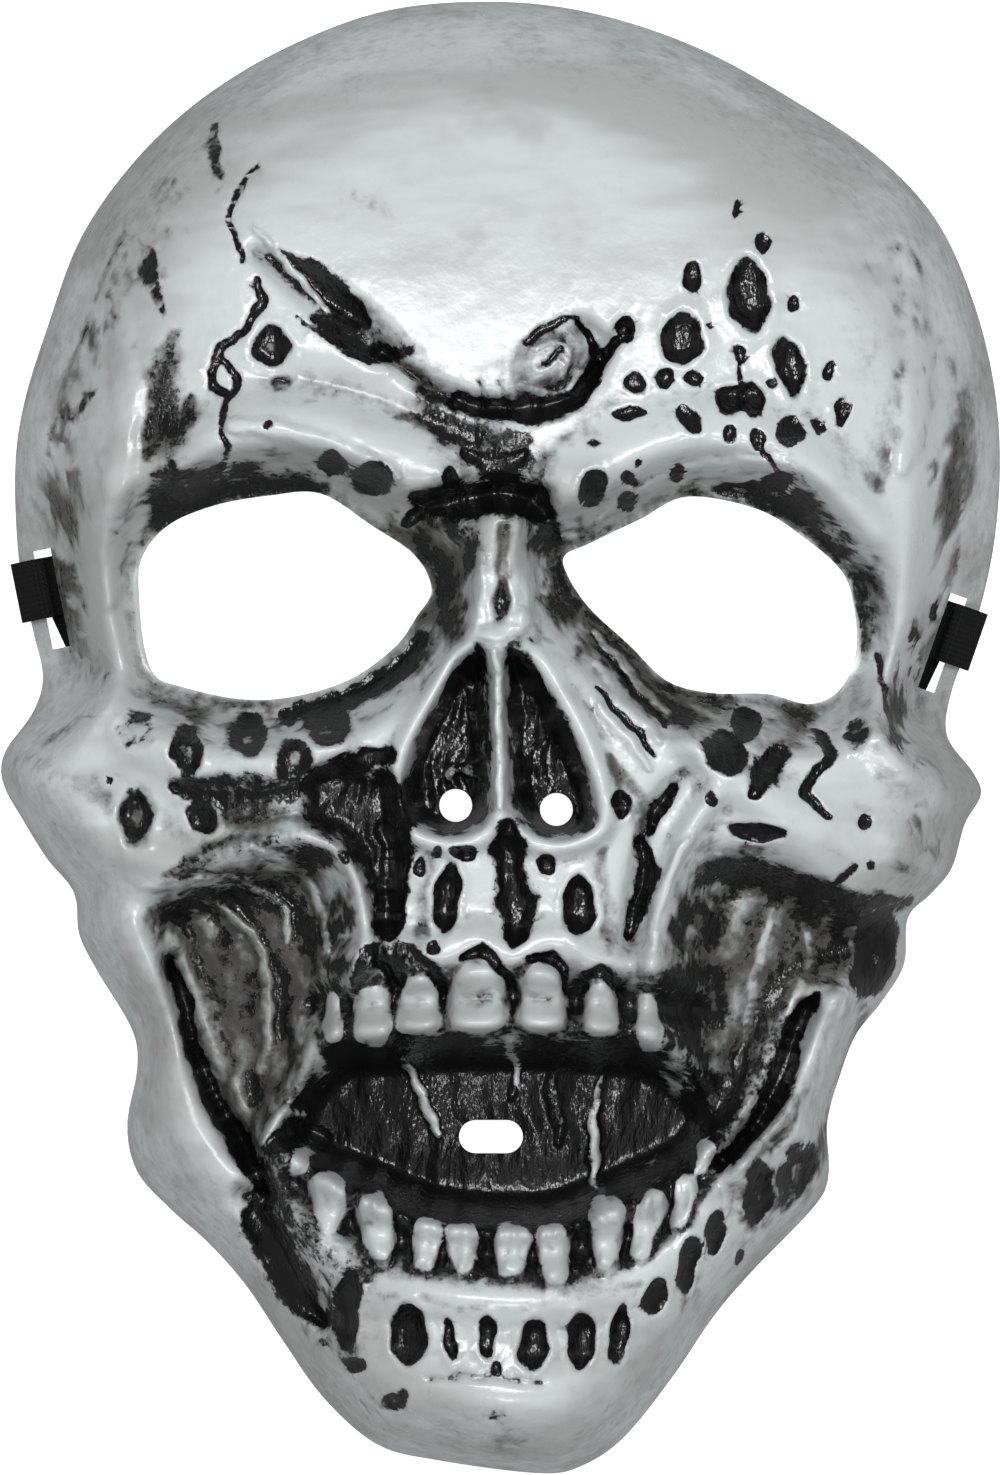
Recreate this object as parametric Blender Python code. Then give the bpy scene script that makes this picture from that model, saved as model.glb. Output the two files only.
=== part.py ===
"""Skull carnival mask: a thin moulded shell that covers the face, held on by one elastic band.

The mask lies on its rim with its face up. +X is to the right of someone who looks at the face, +Y is
towards the crown and +Z is the way the face looks. The origin is under the middle of the mask, on the
surface that it rests on.
"""

import math

import bmesh
import bpy
import numpy as np
from mathutils import Vector

# Driving sizes, in metres.
MASK_WIDE = 0.190
MASK_TALL = 0.280
MASK_DEEP = 0.082
WALL = 0.0018
RIM_LIFT = 0.0034
NOSTRIL_HOLE = 0.0062
MOUTH_SLOT_LONG = 0.0121
MOUTH_SLOT_TALL = 0.0063
STRAP_BAR = 0.0032
STRAP_SLOT_WIDE = 0.0034
STRAP_SLOT_LONG = 0.0190
BAND_WIDE = 0.0114
BAND_THICK = 0.0012
BAND_GAP = 0.0004
BAND_SEAM = 0.0090
BAND_BOW = -0.0660

# The face is charted on a grid of which 1000 steps are the mask's width and 1475 its height, counted from the
# left edge and down from the crown. The bridge of the nose is its tallest place, 89 steps of rise.
GRID_WIDE = 1000
GRID_TALL = 1475
GRID_RISE = 89
HUB_ACROSS = GRID_WIDE / 2
HUB_DOWN = GRID_TALL / 2

# The rim, clockwise from the crown: across, down.
OUTLINE = [
    (502, 1), (600, 14), (700, 48), (798, 102), (880, 158), (938, 222), (975, 306), (995, 390),
    (1000, 470), (993, 550), (975, 626), (952, 690), (947, 735), (973, 772), (981, 795), (965, 824),
    (952, 868), (931, 894), (908, 918), (904, 965), (881, 1003), (856, 1035), (840, 1076), (827, 1124),
    (829, 1172), (816, 1205), (751, 1273), (713, 1318), (673, 1377), (625, 1437), (583, 1466), (540, 1474),
    (438, 1461), (377, 1445), (324, 1399), (282, 1340), (246, 1286), (209, 1244), (171, 1210), (137, 1172),
    (127, 1125), (137, 1070), (132, 1030), (97, 971), (79, 934), (74, 893), (47, 859), (24, 822),
    (3, 783), (5, 752), (33, 712), (43, 676), (33, 630), (19, 560), (15, 470), (24, 403),
    (48, 325), (81, 237), (135, 160), (203, 97), (290, 45), (390, 9),
]

# The side wall at each bearing from the hub, in degrees from +X towards the crown: run is how far in from the
# rim it goes on climbing, and flare is 1 where its foot spreads out into a skirt that carries a strap slot.
WALL_TABLE = [
    (0, 70, 0.7), (4, 80, 1.0), (14, 92, 1.0), (20, 105, 0.7), (32, 115, 0.3), (60, 150, 0.0),
    (90, 150, 0.0), (120, 150, 0.0), (148, 115, 0.3), (157, 106, 0.9), (170, 92, 1.0), (177, 72, 0.6),
    (184, 85, 0.0), (192, 75, 0.0), (205, 60, 0.0), (215, 60, 0.0), (225, 80, 0.0), (240, 85, 0.0),
    (255, 90, 0.0), (270, 80, 0.0), (285, 90, 0.0), (300, 80, 0.0), (315, 60, 0.0), (330, 60, 0.0),
    (342, 75, 0.0), (352, 85, 0.2),
]

# Cross-sections of the face before its features: down, rise at the middle, rise at the side, half width, fullness.
SECTION_TABLE = [
    (0, 46, 40, 330, 2.0), (60, 58, 46, 400, 2.0), (150, 68, 52, 440, 2.0), (260, 76, 54, 480, 2.2),
    (380, 80, 54, 490, 2.4), (480, 82, 54, 490, 2.4), (600, 80, 50, 480, 2.0), (700, 80, 48, 470, 2.0),
    (780, 80, 50, 480, 2.2), (880, 78, 44, 440, 2.2), (980, 77, 36, 410, 2.0), (1080, 74, 32, 370, 2.0),
    (1180, 70, 30, 360, 2.0), (1280, 68, 30, 300, 2.0), (1380, 66, 32, 220, 2.0), (1475, 56, 30, 150, 2.0),
]

# The eye holes' edges: across, down. Each lies at the bottom of a socket.
EYE_HOLES = {
    "left": [
        (141, 600), (143, 560), (169, 527), (215, 507), (270, 497), (322, 495), (373, 527), (415, 556), (432, 590),
        (418, 616), (395, 648), (350, 680), (293, 697), (240, 699), (180, 686), (157, 676), (146, 648),
    ],
    "right": [
        (564, 557), (590, 544), (640, 520), (686, 498), (755, 510), (803, 539), (842, 575), (854, 620), (853, 660),
        (836, 692), (807, 704), (765, 694), (710, 693), (666, 681), (628, 645), (590, 610), (568, 578),
    ],
}
SOCKET_DROP = 20
SOCKET_WIDE = 62

# Sunken fields with a floor: drop, width of the slope at the edge, and the edge as across, down.
HOLLOWS = {
    "left nose cavity": (17, 14, [
        (485, 648), (462, 660), (443, 692), (418, 740), (405, 785), (410, 812), (432, 830), (465, 832), (487, 810),
        (486, 740),
    ]),
    "right nose cavity": (17, 14, [
        (505, 650), (532, 674), (553, 710), (577, 758), (591, 802), (588, 824), (562, 836), (536, 828), (516, 803),
        (508, 730),
    ]),
    "mouth": (27, 34, [
        (338, 1046), (400, 1040), (500, 1036), (600, 1040), (662, 1050), (702, 1090), (712, 1130), (690, 1162),
        (640, 1188), (600, 1205), (550, 1222), (480, 1222), (420, 1212), (370, 1190), (318, 1168), (283, 1138),
        (290, 1100), (318, 1062),
    ]),
    "left cheek": (17, 46, [
        (150, 905), (190, 878), (250, 858), (310, 846), (345, 880), (352, 930), (342, 985), (325, 1040),
        (305, 1100), (270, 1150), (242, 1165), (215, 1120), (192, 1060), (172, 1000), (158, 950),
    ]),
    "right cheek": (17, 46, [
        (690, 872), (730, 846), (790, 862), (850, 903), (893, 912), (896, 950), (862, 985), (815, 1000),
        (790, 1042), (765, 1090), (728, 1140), (690, 1120), (678, 1060), (674, 1000), (672, 930),
    ]),
    "left of the upper jaw": (8, 20, [
        (325, 765), (365, 766), (400, 775), (405, 830), (400, 890), (388, 935), (373, 920), (362, 880),
        (345, 850), (312, 828), (305, 790),
    ]),
    "right of the upper jaw": (6, 16, [
        (690, 768), (672, 800), (652, 830), (646, 880), (640, 930), (628, 960), (618, 930), (628, 860),
        (640, 810), (665, 775),
    ]),
}

# Raised and sunken lines of the face: rise, half widths from end to end, and the line as across, down.
FOLDS = {
    "left brow": (7, (40, 58, 50), [(180, 478), (250, 432), (340, 440), (430, 478)]),
    "right brow": (7, (50, 56, 50, 40), [(570, 492), (630, 462), (710, 440), (800, 462), (860, 540)]),
    "hollow over the left brow": (-3, (40, 40), [(280, 385), (380, 408), (470, 440)]),
    "gash in the forehead": (-7, (14, 34, 30), [(258, 255), (305, 290), (345, 318), (380, 350)]),
    "frown": (-7, (16, 26, 26, 14), [
        (380, 352), (430, 388), (485, 408), (535, 404), (578, 380), (597, 350), (580, 328),
    ]),
    "end of the frown": (-4, (12, 10), [(590, 378), (606, 350), (626, 330)]),
    "root of the nose": (-10, (26, 30, 26), [(425, 507), (480, 498), (540, 502)]),
    "bridge of the nose": (10, (34, 44, 46), [(503, 520), (500, 600), (497, 640)]),
    "seam of the nose": (-5, (12, 14, 8), [(504, 530), (500, 590), (497, 632)]),
    "rim of the nose": (5, 16, [
        (497, 642), (455, 655), (430, 700), (405, 745), (393, 790), (398, 824), (440, 843), (480, 838), (499, 822),
        (520, 838), (560, 846), (600, 830), (603, 795), (588, 745), (562, 695), (535, 655), (497, 642),
    ]),
    "wall between the nostrils": (6, (13, 11, 18), [(497, 655), (498, 740), (500, 815)]),
    "left cheekbone": (6, (50, 60, 40), [(150, 740), (240, 770), (330, 745)]),
    "left cheekbone's lower edge": (6, (50, 40, 26), [(20, 785), (110, 845), (185, 866), (250, 848), (310, 838)]),
    "left of the upper teeth": (6, (26, 18, 16), [(335, 842), (358, 880), (366, 940), (352, 985)]),
    "right cheekbone": (7, (30, 50, 60), [(690, 740), (760, 800), (850, 850), (930, 850)]),
    "right cheekbone's end": (5, (50, 45), [(870, 720), (940, 800)]),
    "right of the upper teeth": (6, (20, 22, 18), [(712, 795), (678, 850), (658, 920), (650, 970)]),
    "left jaw": (5, (40, 45, 40), [(125, 935), (160, 1010), (165, 1090), (205, 1180), (245, 1228)]),
    "right jaw": (7, (24, 26, 22), [(840, 1000), (825, 1050), (795, 1100), (735, 1168)]),
    "groove in the left jaw": (-9, (14, 20, 16), [
        (172, 960), (192, 1030), (217, 1092), (250, 1150), (270, 1195),
    ]),
    "groove in the right jaw": (-10, (18, 20, 14), [(806, 1008), (790, 1050), (765, 1106), (722, 1160)]),
    "hollow in the left jaw": (-9, (26, 36, 20), [(250, 1195), (285, 1252), (325, 1318)]),
    "hollow in the right jaw": (-5, (30, 34), [(775, 1150), (812, 1175)]),
    "upper gum": (5, 30, [
        (330, 965), (390, 950), (440, 955), (475, 938), (512, 955), (550, 938), (600, 958), (670, 965),
    ]),
    "trough of the upper teeth": (-7, 28, [(322, 1005), (400, 1000), (500, 995), (600, 1000), (690, 1010)]),
    "trough of the lower teeth": (-6, 28, [
        (300, 1180), (345, 1215), (420, 1240), (510, 1248), (600, 1240), (650, 1220), (705, 1160),
    ]),
    "lower gum": (4, 32, [
        (300, 1225), (360, 1282), (430, 1292), (520, 1298), (600, 1292), (660, 1262), (702, 1210),
    ]),
    "chin": (5, (60, 90, 60), [(390, 1408), (470, 1418), (570, 1412)]),
}

# The teeth: across, down, half width, half height, lean in degrees, rise.
TEETH = [
    (333, 1014, 10, 36, 2, 7), (362, 1012, 14, 40, 3, 8), (413, 1000, 22, 36, 3, 10), (478, 998, 31, 40, 0, 12),
    (541, 1003, 26, 37, 1, 12), (598, 1010, 20, 31, -3, 10), (646, 1020, 13, 36, -2, 8), (680, 1018, 9, 34, -4, 6),
    (302, 1158, 10, 18, 10, 6), (330, 1202, 17, 32, -8, 8), (378, 1222, 17, 38, -10, 9), (425, 1240, 18, 30, 5, 9),
    (463, 1242, 18, 29, -3, 9), (512, 1246, 20, 31, 0, 9), (553, 1250, 18, 34, -2, 9), (606, 1230, 17, 42, 3, 11),
    (646, 1226, 13, 38, 18, 9), (681, 1200, 11, 35, 16, 8), (701, 1154, 9, 24, 12, 6),
]

# Punched air holes: across, down.
NOSTRILS = {"left": (456, 805), "right": (556, 809)}
MOUTH_SLOT = (491, 1135)

# The strap bars: the sign of the side and how far down the bar's middle is.
STRAPS = {"left": (-1, 592), "right": (1, 640)}
ARCH_DOWN = 625
ARCH_HALF = 125

# Cells along each side of the two skins' grids, and the fields of the face where the grids are closer:
# middle, half length and how much closer.
OUTER_CELLS = 57
INNER_CELLS = 40
CLOSE_ACROSS = (0.0, 0.5, 0.5)
CLOSE_DOWN = (-0.2, 0.5, 0.8)
WALL_RINGS = 1.5
WALL_SPARE = 0.5
SOFTEN = 14

BONE_GREY = (0.62, 0.65, 0.65, 1.0)
BAND_BLACK = (0.012, 0.013, 0.014, 1.0)


def clear_scene():
    for thing in list(bpy.data.objects):
        bpy.data.objects.remove(thing, do_unlink=True)


def ease(share):
    """0 to 1 with a soft start and a soft end."""
    share = np.clip(share, 0, 1)
    return share * share * (3 - 2 * share)


def smooth_line(points, steps=4, closed=False):
    """A smooth curve through the points of a table, as many short steps."""
    p = np.array(points, float)
    before = np.roll(p, 1, 0)
    after = np.roll(p, -1, 0)
    beyond = np.roll(p, -2, 0)
    if not closed:
        before[0] = p[0]
        after[-1] = p[-1]
        beyond[-2:] = p[-1]
    t = np.linspace(0, 1, steps, endpoint=False)[:, None, None]
    curve = p + 0.5 * (
        (after - before) * t
        + (2 * before - 5 * p + 4 * after - beyond) * t**2
        + (3 * p - before - 3 * after + beyond) * t**3
    )
    curve = curve.transpose(1, 0, 2).reshape(-1, 2)
    return curve if closed else curve[: (len(p) - 1) * steps + 1]


def distance_outside(across, down, loop):
    """How far each place is outside a closed line, negative inside it."""
    nearest = np.full(across.shape, np.inf)
    inside = np.zeros(across.shape, bool)
    for (x0, y0), (x1, y1) in zip(loop, np.roll(loop, -1, 0)):
        run, fall = x1 - x0, y1 - y0
        t = np.clip(((across - x0) * run + (down - y0) * fall) / (run * run + fall * fall), 0, 1)
        nearest = np.minimum(nearest, np.hypot(across - x0 - t * run, down - y0 - t * fall))
        if fall:
            inside ^= ((y0 > down) != (y1 > down)) & (across < run * (down - y0) / fall + x0)
    return np.where(inside, -nearest, nearest)


def nearness(across, down, points, half_widths):
    """1 on a line, falling to 0 at its half width, which may change from end to end."""
    line = smooth_line(points)
    stations = np.linspace(0, 1, np.size(half_widths))
    widths = np.interp(np.linspace(0, 1, len(line)), stations, np.atleast_1d(half_widths))
    most = np.zeros(across.shape)
    for (x0, y0), (x1, y1), w0, w1 in zip(line[:-1], line[1:], widths[:-1], widths[1:]):
        run, fall = x1 - x0, y1 - y0
        t = np.clip(((across - x0) * run + (down - y0) * fall) / (run * run + fall * fall), 0, 1)
        away = np.hypot(across - x0 - t * run, down - y0 - t * fall)
        most = np.maximum(most, 1 - away / (w0 + (w1 - w0) * t))
    return most


def table_curve(table, column, where):
    """A smooth curve through one column of a table, read at places of its first column."""
    rows = np.array(table, float)
    x, y = rows[:, 0], rows[:, column]
    slope = np.gradient(y, x)
    i = np.clip(np.searchsorted(x, where) - 1, 0, len(x) - 2)
    span = x[i + 1] - x[i]
    t = np.clip((where - x[i]) / span, 0, 1)
    return (
        (1 + 2 * t) * (1 - t) ** 2 * y[i]
        + t * (1 - t) ** 2 * span * slope[i]
        + t * t * (3 - 2 * t) * y[i + 1]
        + t * t * (t - 1) * span * slope[i + 1]
    )


RIM = smooth_line(OUTLINE, 8, closed=True)


def rim_radius(bearing):
    """From the hub to the rim, in grid steps."""
    right, up = RIM[:, 0] - HUB_ACROSS, HUB_DOWN - RIM[:, 1]
    bearings = np.mod(np.arctan2(up, right), math.tau)
    order = np.argsort(bearings)
    return np.interp(np.mod(bearing, math.tau), bearings[order], np.hypot(right, up)[order], period=math.tau)


def wall_column(bearing, column):
    rows = np.array(WALL_TABLE, float)
    return np.interp(np.degrees(np.mod(bearing, math.tau)), rows[:, 0], rows[:, column], period=360)


def rim_lift(down):
    """How far the rim is off the table, in steps of rise: it arches over the elastic band."""
    rise = ease(1.6 * (1 - np.abs(down - ARCH_DOWN) / ARCH_HALF))
    return GRID_RISE * RIM_LIFT / MASK_DEEP * rise


def tooth(across, down, row):
    """The swelling of one tooth: a block with rounded corners and a soft face."""
    at_across, at_down, half_wide, half_tall, lean, rise = row
    turn = math.radians(lean)
    right = (across - at_across) * math.cos(turn) + (down - at_down) * math.sin(turn)
    below = (down - at_down) * math.cos(turn) - (across - at_across) * math.sin(turn)
    corner = 3.2
    reach = (np.abs(right / half_wide) ** corner + np.abs(below / half_tall) ** corner) ** (1 / corner)
    return rise * ease(2.0 - 1.9 * reach)


def face_rise(across, down):
    """The front of the face without its side walls, in steps of rise."""
    middle = table_curve(SECTION_TABLE, 1, down)
    side = table_curve(SECTION_TABLE, 2, down)
    half_wide = table_curve(SECTION_TABLE, 3, down)
    fullness = table_curve(SECTION_TABLE, 4, down)
    share = np.minimum(np.abs(across - HUB_ACROSS) / half_wide, 1.4)
    rise = side + (middle - side) * (1 - share**fullness)
    for drop, slope, edge in HOLLOWS.values():
        away = distance_outside(across, down, smooth_line(edge, 4, closed=True))
        rise = rise - drop * ease(0.25 - 0.75 * away / slope)
    for height, half_widths, line in FOLDS.values():
        rise = rise + height * ease(nearness(across, down, line, half_widths))
    for edge in EYE_HOLES.values():
        away = distance_outside(across, down, smooth_line(edge, 4, closed=True))
        rise = rise - SOCKET_DROP * ease(1 - np.maximum(away, 0) / SOCKET_WIDE)
    for row in TEETH:
        rise = rise + tooth(across, down, row)
    return rise


def mask_rise(across, down):
    """The outer surface of the mask over its rim's plane, in steps of rise."""
    right, up = across - HUB_ACROSS, HUB_DOWN - down
    bearing = np.arctan2(up, right)
    from_rim = np.maximum(rim_radius(bearing) - np.hypot(right, up), 0)
    share = np.clip(from_rim / wall_column(bearing, 1), 0, 1)
    flare = wall_column(bearing, 2)
    upright = np.sqrt(1 - (1 - share) ** 2)
    skirted = 0.17 * np.minimum(share / 0.45, 1) + 0.83 * ease((share - 0.34) / 0.66)
    lift = rim_lift(down)
    return lift + (face_rise(across, down) - lift) * (upright + (skirted - upright) * flare)


def place_x(across):
    return (across - HUB_ACROSS) / GRID_WIDE * MASK_WIDE


def place_y(down):
    return (HUB_DOWN - down) / GRID_TALL * MASK_TALL


def place_z(rise):
    return rise / GRID_RISE * MASK_DEEP


def close_up(share, field):
    """Moves evenly spread shares from -1 to 1 so that they crowd into a field."""
    middle, half, gain = field
    even = np.linspace(-1, 1, 401)
    density = 1 + gain * ease(1.5 * (1 - np.abs(even - middle) / half / 1.6))
    filled = np.concatenate([[0], np.cumsum((density[1:] + density[:-1]) / 2)])
    return np.interp((share + 1) / 2, filled / filled[-1], even)


def grid_to_face(u, v, inset=0):
    """Maps a square of side 2 on to the face: its centre to the hub and its edge to the rim, or inside it."""
    u = close_up(u, CLOSE_ACROSS)
    v = close_up(v, CLOSE_DOWN)
    wide = np.abs(u) >= np.abs(v)
    ring = np.where(wide, u, v)
    other = np.where(wide, v, u)
    eighth = math.pi / 4 * other / np.where(ring == 0, 1, ring)
    bearing = np.where(wide, eighth, math.pi / 2 - eighth) + np.where(ring < 0, math.pi, 0)
    ring = np.abs(ring)
    radius = rim_radius(bearing) - inset
    run = wall_column(bearing, 1)
    wall_share = WALL_RINGS * run / (radius - run + WALL_RINGS * run)
    inner = ring / (1 - wall_share) * (radius - run)
    climb = np.clip((1 - ring) / wall_share, 0, 1)
    outer = radius - run * (1 - np.cos(math.pi / 2 * climb))
    reach = np.where(ring < 1 - wall_share, inner, outer)
    return HUB_ACROSS + reach * np.cos(bearing), HUB_DOWN - reach * np.sin(bearing)


def object_from(bm, name, material=None):
    mesh = bpy.data.meshes.new(name)
    bm.to_mesh(mesh)
    bm.free()
    made = bpy.data.objects.new(name, mesh)
    bpy.context.scene.collection.objects.link(made)
    if material:
        mesh.materials.append(material)
        mesh.shade_smooth()
        mesh.set_sharp_from_angle(angle=math.radians(50))
    return made


def make_material(name, colour, roughness):
    material = bpy.data.materials.new(name)
    material.use_nodes = True
    shader = material.node_tree.nodes["Principled BSDF"]
    shader.inputs["Base Color"].default_value = colour
    shader.inputs["Roughness"].default_value = roughness
    shader.inputs["Metallic"].default_value = 0.0
    return material


def add_cutter(bm, name, cutters):
    """A hidden helper that is taken out of the shell."""
    cutter = object_from(bm, name)
    cutter.hide_render = True
    cutter.display_type = "WIRE"
    bpy.context.scene.collection.objects.unlink(cutter)
    cutters.objects.link(cutter)


def add_prism(bm, outline, low, high):
    """An upright prism over an outline of x, y places."""
    face = bm.faces.new([bm.verts.new((x, y, low)) for x, y in outline])
    raised = bmesh.ops.extrude_face_region(bm, geom=[face])
    tops = [part for part in raised["geom"] if isinstance(part, bmesh.types.BMVert)]
    bmesh.ops.translate(bm, verts=tops, vec=(0, 0, high - low))


def round_ended(long, tall, corners=8):
    """The outline of a slot with round ends, or of a round hole, about its middle."""
    radius = tall / 2
    straight = (long - tall) / 2
    outline = []
    for start, middle in ((-0.5, straight), (0.5, -straight)):
        for step in range(corners + 1):
            angle = math.pi * (start + step / corners)
            outline.append((middle + radius * math.cos(angle), radius * math.sin(angle)))
    if straight == 0:
        outline = outline[:corners] + outline[corners + 1 : -1]
    return outline


def rim_at(side, down):
    """The rim's place on one side at a height on the face, and the directions in and along the bar there."""
    half = RIM[(RIM[:, 0] - HUB_ACROSS) * side > 0]
    near = half[(half[:, 1] > 450) & (half[:, 1] < 760)]
    near = near[np.argsort(near[:, 1])]
    across = np.interp([down - 30, down, down + 30], near[:, 1], near[:, 0])
    upper = Vector((place_x(across[0]), place_y(down - 30)))
    lower = Vector((place_x(across[2]), place_y(down + 30)))
    bar = (upper - lower).normalized()
    inward = Vector((bar.y, -bar.x)) * (-side)
    return Vector((place_x(across[1]), place_y(down))), inward, bar


def strap_slot(name):
    """The four corners of the slot that leaves a bar at the rim for the band."""
    rim, inward, bar = rim_at(*STRAPS[name])
    near = rim + inward * STRAP_BAR - bar * STRAP_SLOT_LONG * 0.62
    far = near + inward * STRAP_SLOT_WIDE
    along = bar * STRAP_SLOT_LONG
    return [tuple(corner) for corner in (near, far, far + along, near + along)]


def hole_prisms():
    """Everything that is punched through the shell: eyes, nostrils, mouth slot and strap slots."""
    bm = bmesh.new()
    high = 1.2 * MASK_DEEP
    for edge in EYE_HOLES.values():
        ring = smooth_line(edge, 4, closed=True)
        add_prism(bm, [(place_x(a), place_y(d)) for a, d in ring], 0.2 * MASK_DEEP, high)
    holes = [(where, NOSTRIL_HOLE, NOSTRIL_HOLE) for where in NOSTRILS.values()]
    holes.append((MOUTH_SLOT, MOUTH_SLOT_LONG, MOUTH_SLOT_TALL))
    for (across, down), long, tall in holes:
        ring = [(place_x(across) + x, place_y(down) + y) for x, y in round_ended(long, tall)]
        add_prism(bm, ring, 0.2 * MASK_DEEP, high)
    for name in STRAPS:
        add_prism(bm, strap_slot(name), 0, 0.5 * MASK_DEEP)
    bmesh.ops.recalc_face_normals(bm, faces=bm.faces)
    return bm


def skin(cells, inset, heights_at):
    """A grid of cells laid over the face, split into triangles, with its heights."""
    bm = bmesh.new()
    bmesh.ops.create_grid(bm, x_segments=cells, y_segments=cells, size=1)
    spots = np.array([vert.co[:] for vert in bm.verts])
    across, down = grid_to_face(spots[:, 0], spots[:, 1], inset)
    heights = place_z(heights_at(across, down))
    for vert, a, d in zip(bm.verts, across, down):
        vert.co = (place_x(a), place_y(d), 0)
    # Split while it is flat, so that no cell of a narrow corner folds over its neighbour.
    bmesh.ops.triangulate(bm, faces=bm.faces)
    return bm, heights, place_z(rim_lift(down))


def smooth_creases(bm):
    """Turns the cells' diagonals to run along the folds of the face and not across them."""
    inner = [edge for edge in bm.edges if len(edge.link_faces) == 2]
    bmesh.ops.beautify_fill(bm, faces=bm.faces, edges=inner, method="ANGLE")


def full_mask():
    """The mask as one solid block, whose underside is the plane of its rim with an arch for the band."""
    bm, tops, bases = skin(OUTER_CELLS, 0, mean_rise)
    copy = bmesh.ops.duplicate(bm, geom=bm.verts[:] + bm.edges[:] + bm.faces[:])
    under = [part for part in copy["geom"] if isinstance(part, bmesh.types.BMVert)]
    for vert, z in zip(bm.verts[: len(tops)], tops):
        vert.co.z = z
    smooth_creases(bm)
    for vert, z in zip(under, bases):
        vert.co.z = z
    bmesh.ops.remove_doubles(bm, verts=bm.verts, dist=1e-6)
    bmesh.ops.recalc_face_normals(bm, faces=bm.faces)
    return bm


def hollow_block():
    """What is taken out of the block to leave the wall: the inner skin drawn down past the rim."""
    bm, tops, bases = skin(INNER_CELLS, WALL / MASK_WIDE * GRID_WIDE, inner_heights)
    for vert, z in zip(bm.verts, tops):
        vert.co.z = z
    smooth_creases(bm)
    rim_edges = [edge for edge in bm.edges if edge.is_boundary]
    skirt = bmesh.ops.extrude_edge_only(bm, edges=rim_edges)
    for part in skirt["geom"]:
        if isinstance(part, bmesh.types.BMVert):
            part.co.z = -RIM_LIFT
    bmesh.ops.contextual_create(bm, geom=[edge for edge in bm.edges if edge.is_boundary])
    bmesh.ops.recalc_face_normals(bm, faces=bm.faces)
    return bm


def from_rim_steps(across, down):
    right, up = across - HUB_ACROSS, HUB_DOWN - down
    return np.maximum(rim_radius(np.arctan2(up, right)) - np.hypot(right, up), 0)


def mean_rise(across, down):
    """The rise averaged over a small patch, so that a coarse skin doesn't chop up the narrow forms."""
    reach = SOFTEN * ease(from_rim_steps(across, down) / 60)
    total = np.zeros(across.shape)
    for right in (-1, 0, 1):
        for below in (-1, 0, 1):
            total += mask_rise(across + right * reach, down + below * reach)
    return total / 9


def inner_heights(across, down):
    """The inner skin keeps a wall's thickness from every place of the outer one near it."""
    thickness = WALL * (1 + WALL_SPARE * ease((from_rim_steps(across, down) - 40) / 80))
    reach = thickness / MASK_WIDE * GRID_WIDE
    lowest = mean_rise(across, down) - GRID_RISE * thickness / MASK_DEEP
    for turn in np.arange(8) * math.pi / 4:
        for share in (0.6, 1.0):
            spot = (across + share * reach * math.cos(turn), down + share * reach * math.sin(turn))
            drop = GRID_RISE * thickness / MASK_DEEP * math.sqrt(1 - share * share)
            lowest = np.minimum(lowest, mean_rise(*spot) - drop)
    return lowest


def build_shell():
    material = make_material("bone_grey_plastic", BONE_GREY, 0.35)
    shell = object_from(full_mask(), "mask_shell", material)
    cutters = bpy.data.collections.new("cutters")
    bpy.context.scene.collection.children.link(cutters)
    add_cutter(hollow_block(), "hollow", cutters)
    add_cutter(hole_prisms(), "holes", cutters)
    taken_out = shell.modifiers.new("hollow and holes", "BOOLEAN")
    taken_out.operation = "DIFFERENCE"
    taken_out.solver = "EXACT"
    taken_out.operand_type = "COLLECTION"
    taken_out.collection = cutters
    return shell


def bar_loop(rim, inward, bar):
    """The band's path round a bar, as distance in from the rim and height, from the sewn end to the run."""
    half = BAND_THICK / 2
    clear = BAND_GAP + half
    tops = []
    for distance in (0.0, STRAP_BAR):
        spots = [rim + inward * distance + bar * BAND_WIDE * share for share in (-0.5, -0.25, 0, 0.25, 0.5)]
        across = np.array([spot.x / MASK_WIDE * GRID_WIDE + HUB_ACROSS for spot in spots])
        down = np.array([HUB_DOWN - spot.y / MASK_TALL * GRID_TALL for spot in spots])
        tops.append(max(place_z(mask_rise(across, down))))
    foot, top = tops
    steep = math.atan2(top - foot, STRAP_BAR)
    second = BAND_THICK + BAND_GAP + half
    path = [(STRAP_BAR + clear + BAND_SEAM, second), (STRAP_BAR + clear + 0.0020, second)]
    path += [(STRAP_BAR + clear + 0.0005, second + 0.0005), (STRAP_BAR + clear, second + 0.0020)]
    for turn in np.linspace(0, math.pi / 2 + steep, 5):
        path.append((STRAP_BAR + clear * math.cos(turn), top + clear * math.sin(turn)))
    for turn in np.linspace(math.pi / 2 + steep, math.pi, 3):
        path.append((clear * math.cos(turn), foot + clear * math.sin(turn)))
    path += [(-clear, half + 0.0012), (-clear + 0.0004, half + 0.0004), (-clear + 0.0014, half)]
    return path + [(STRAP_BAR + clear, half)]


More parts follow.
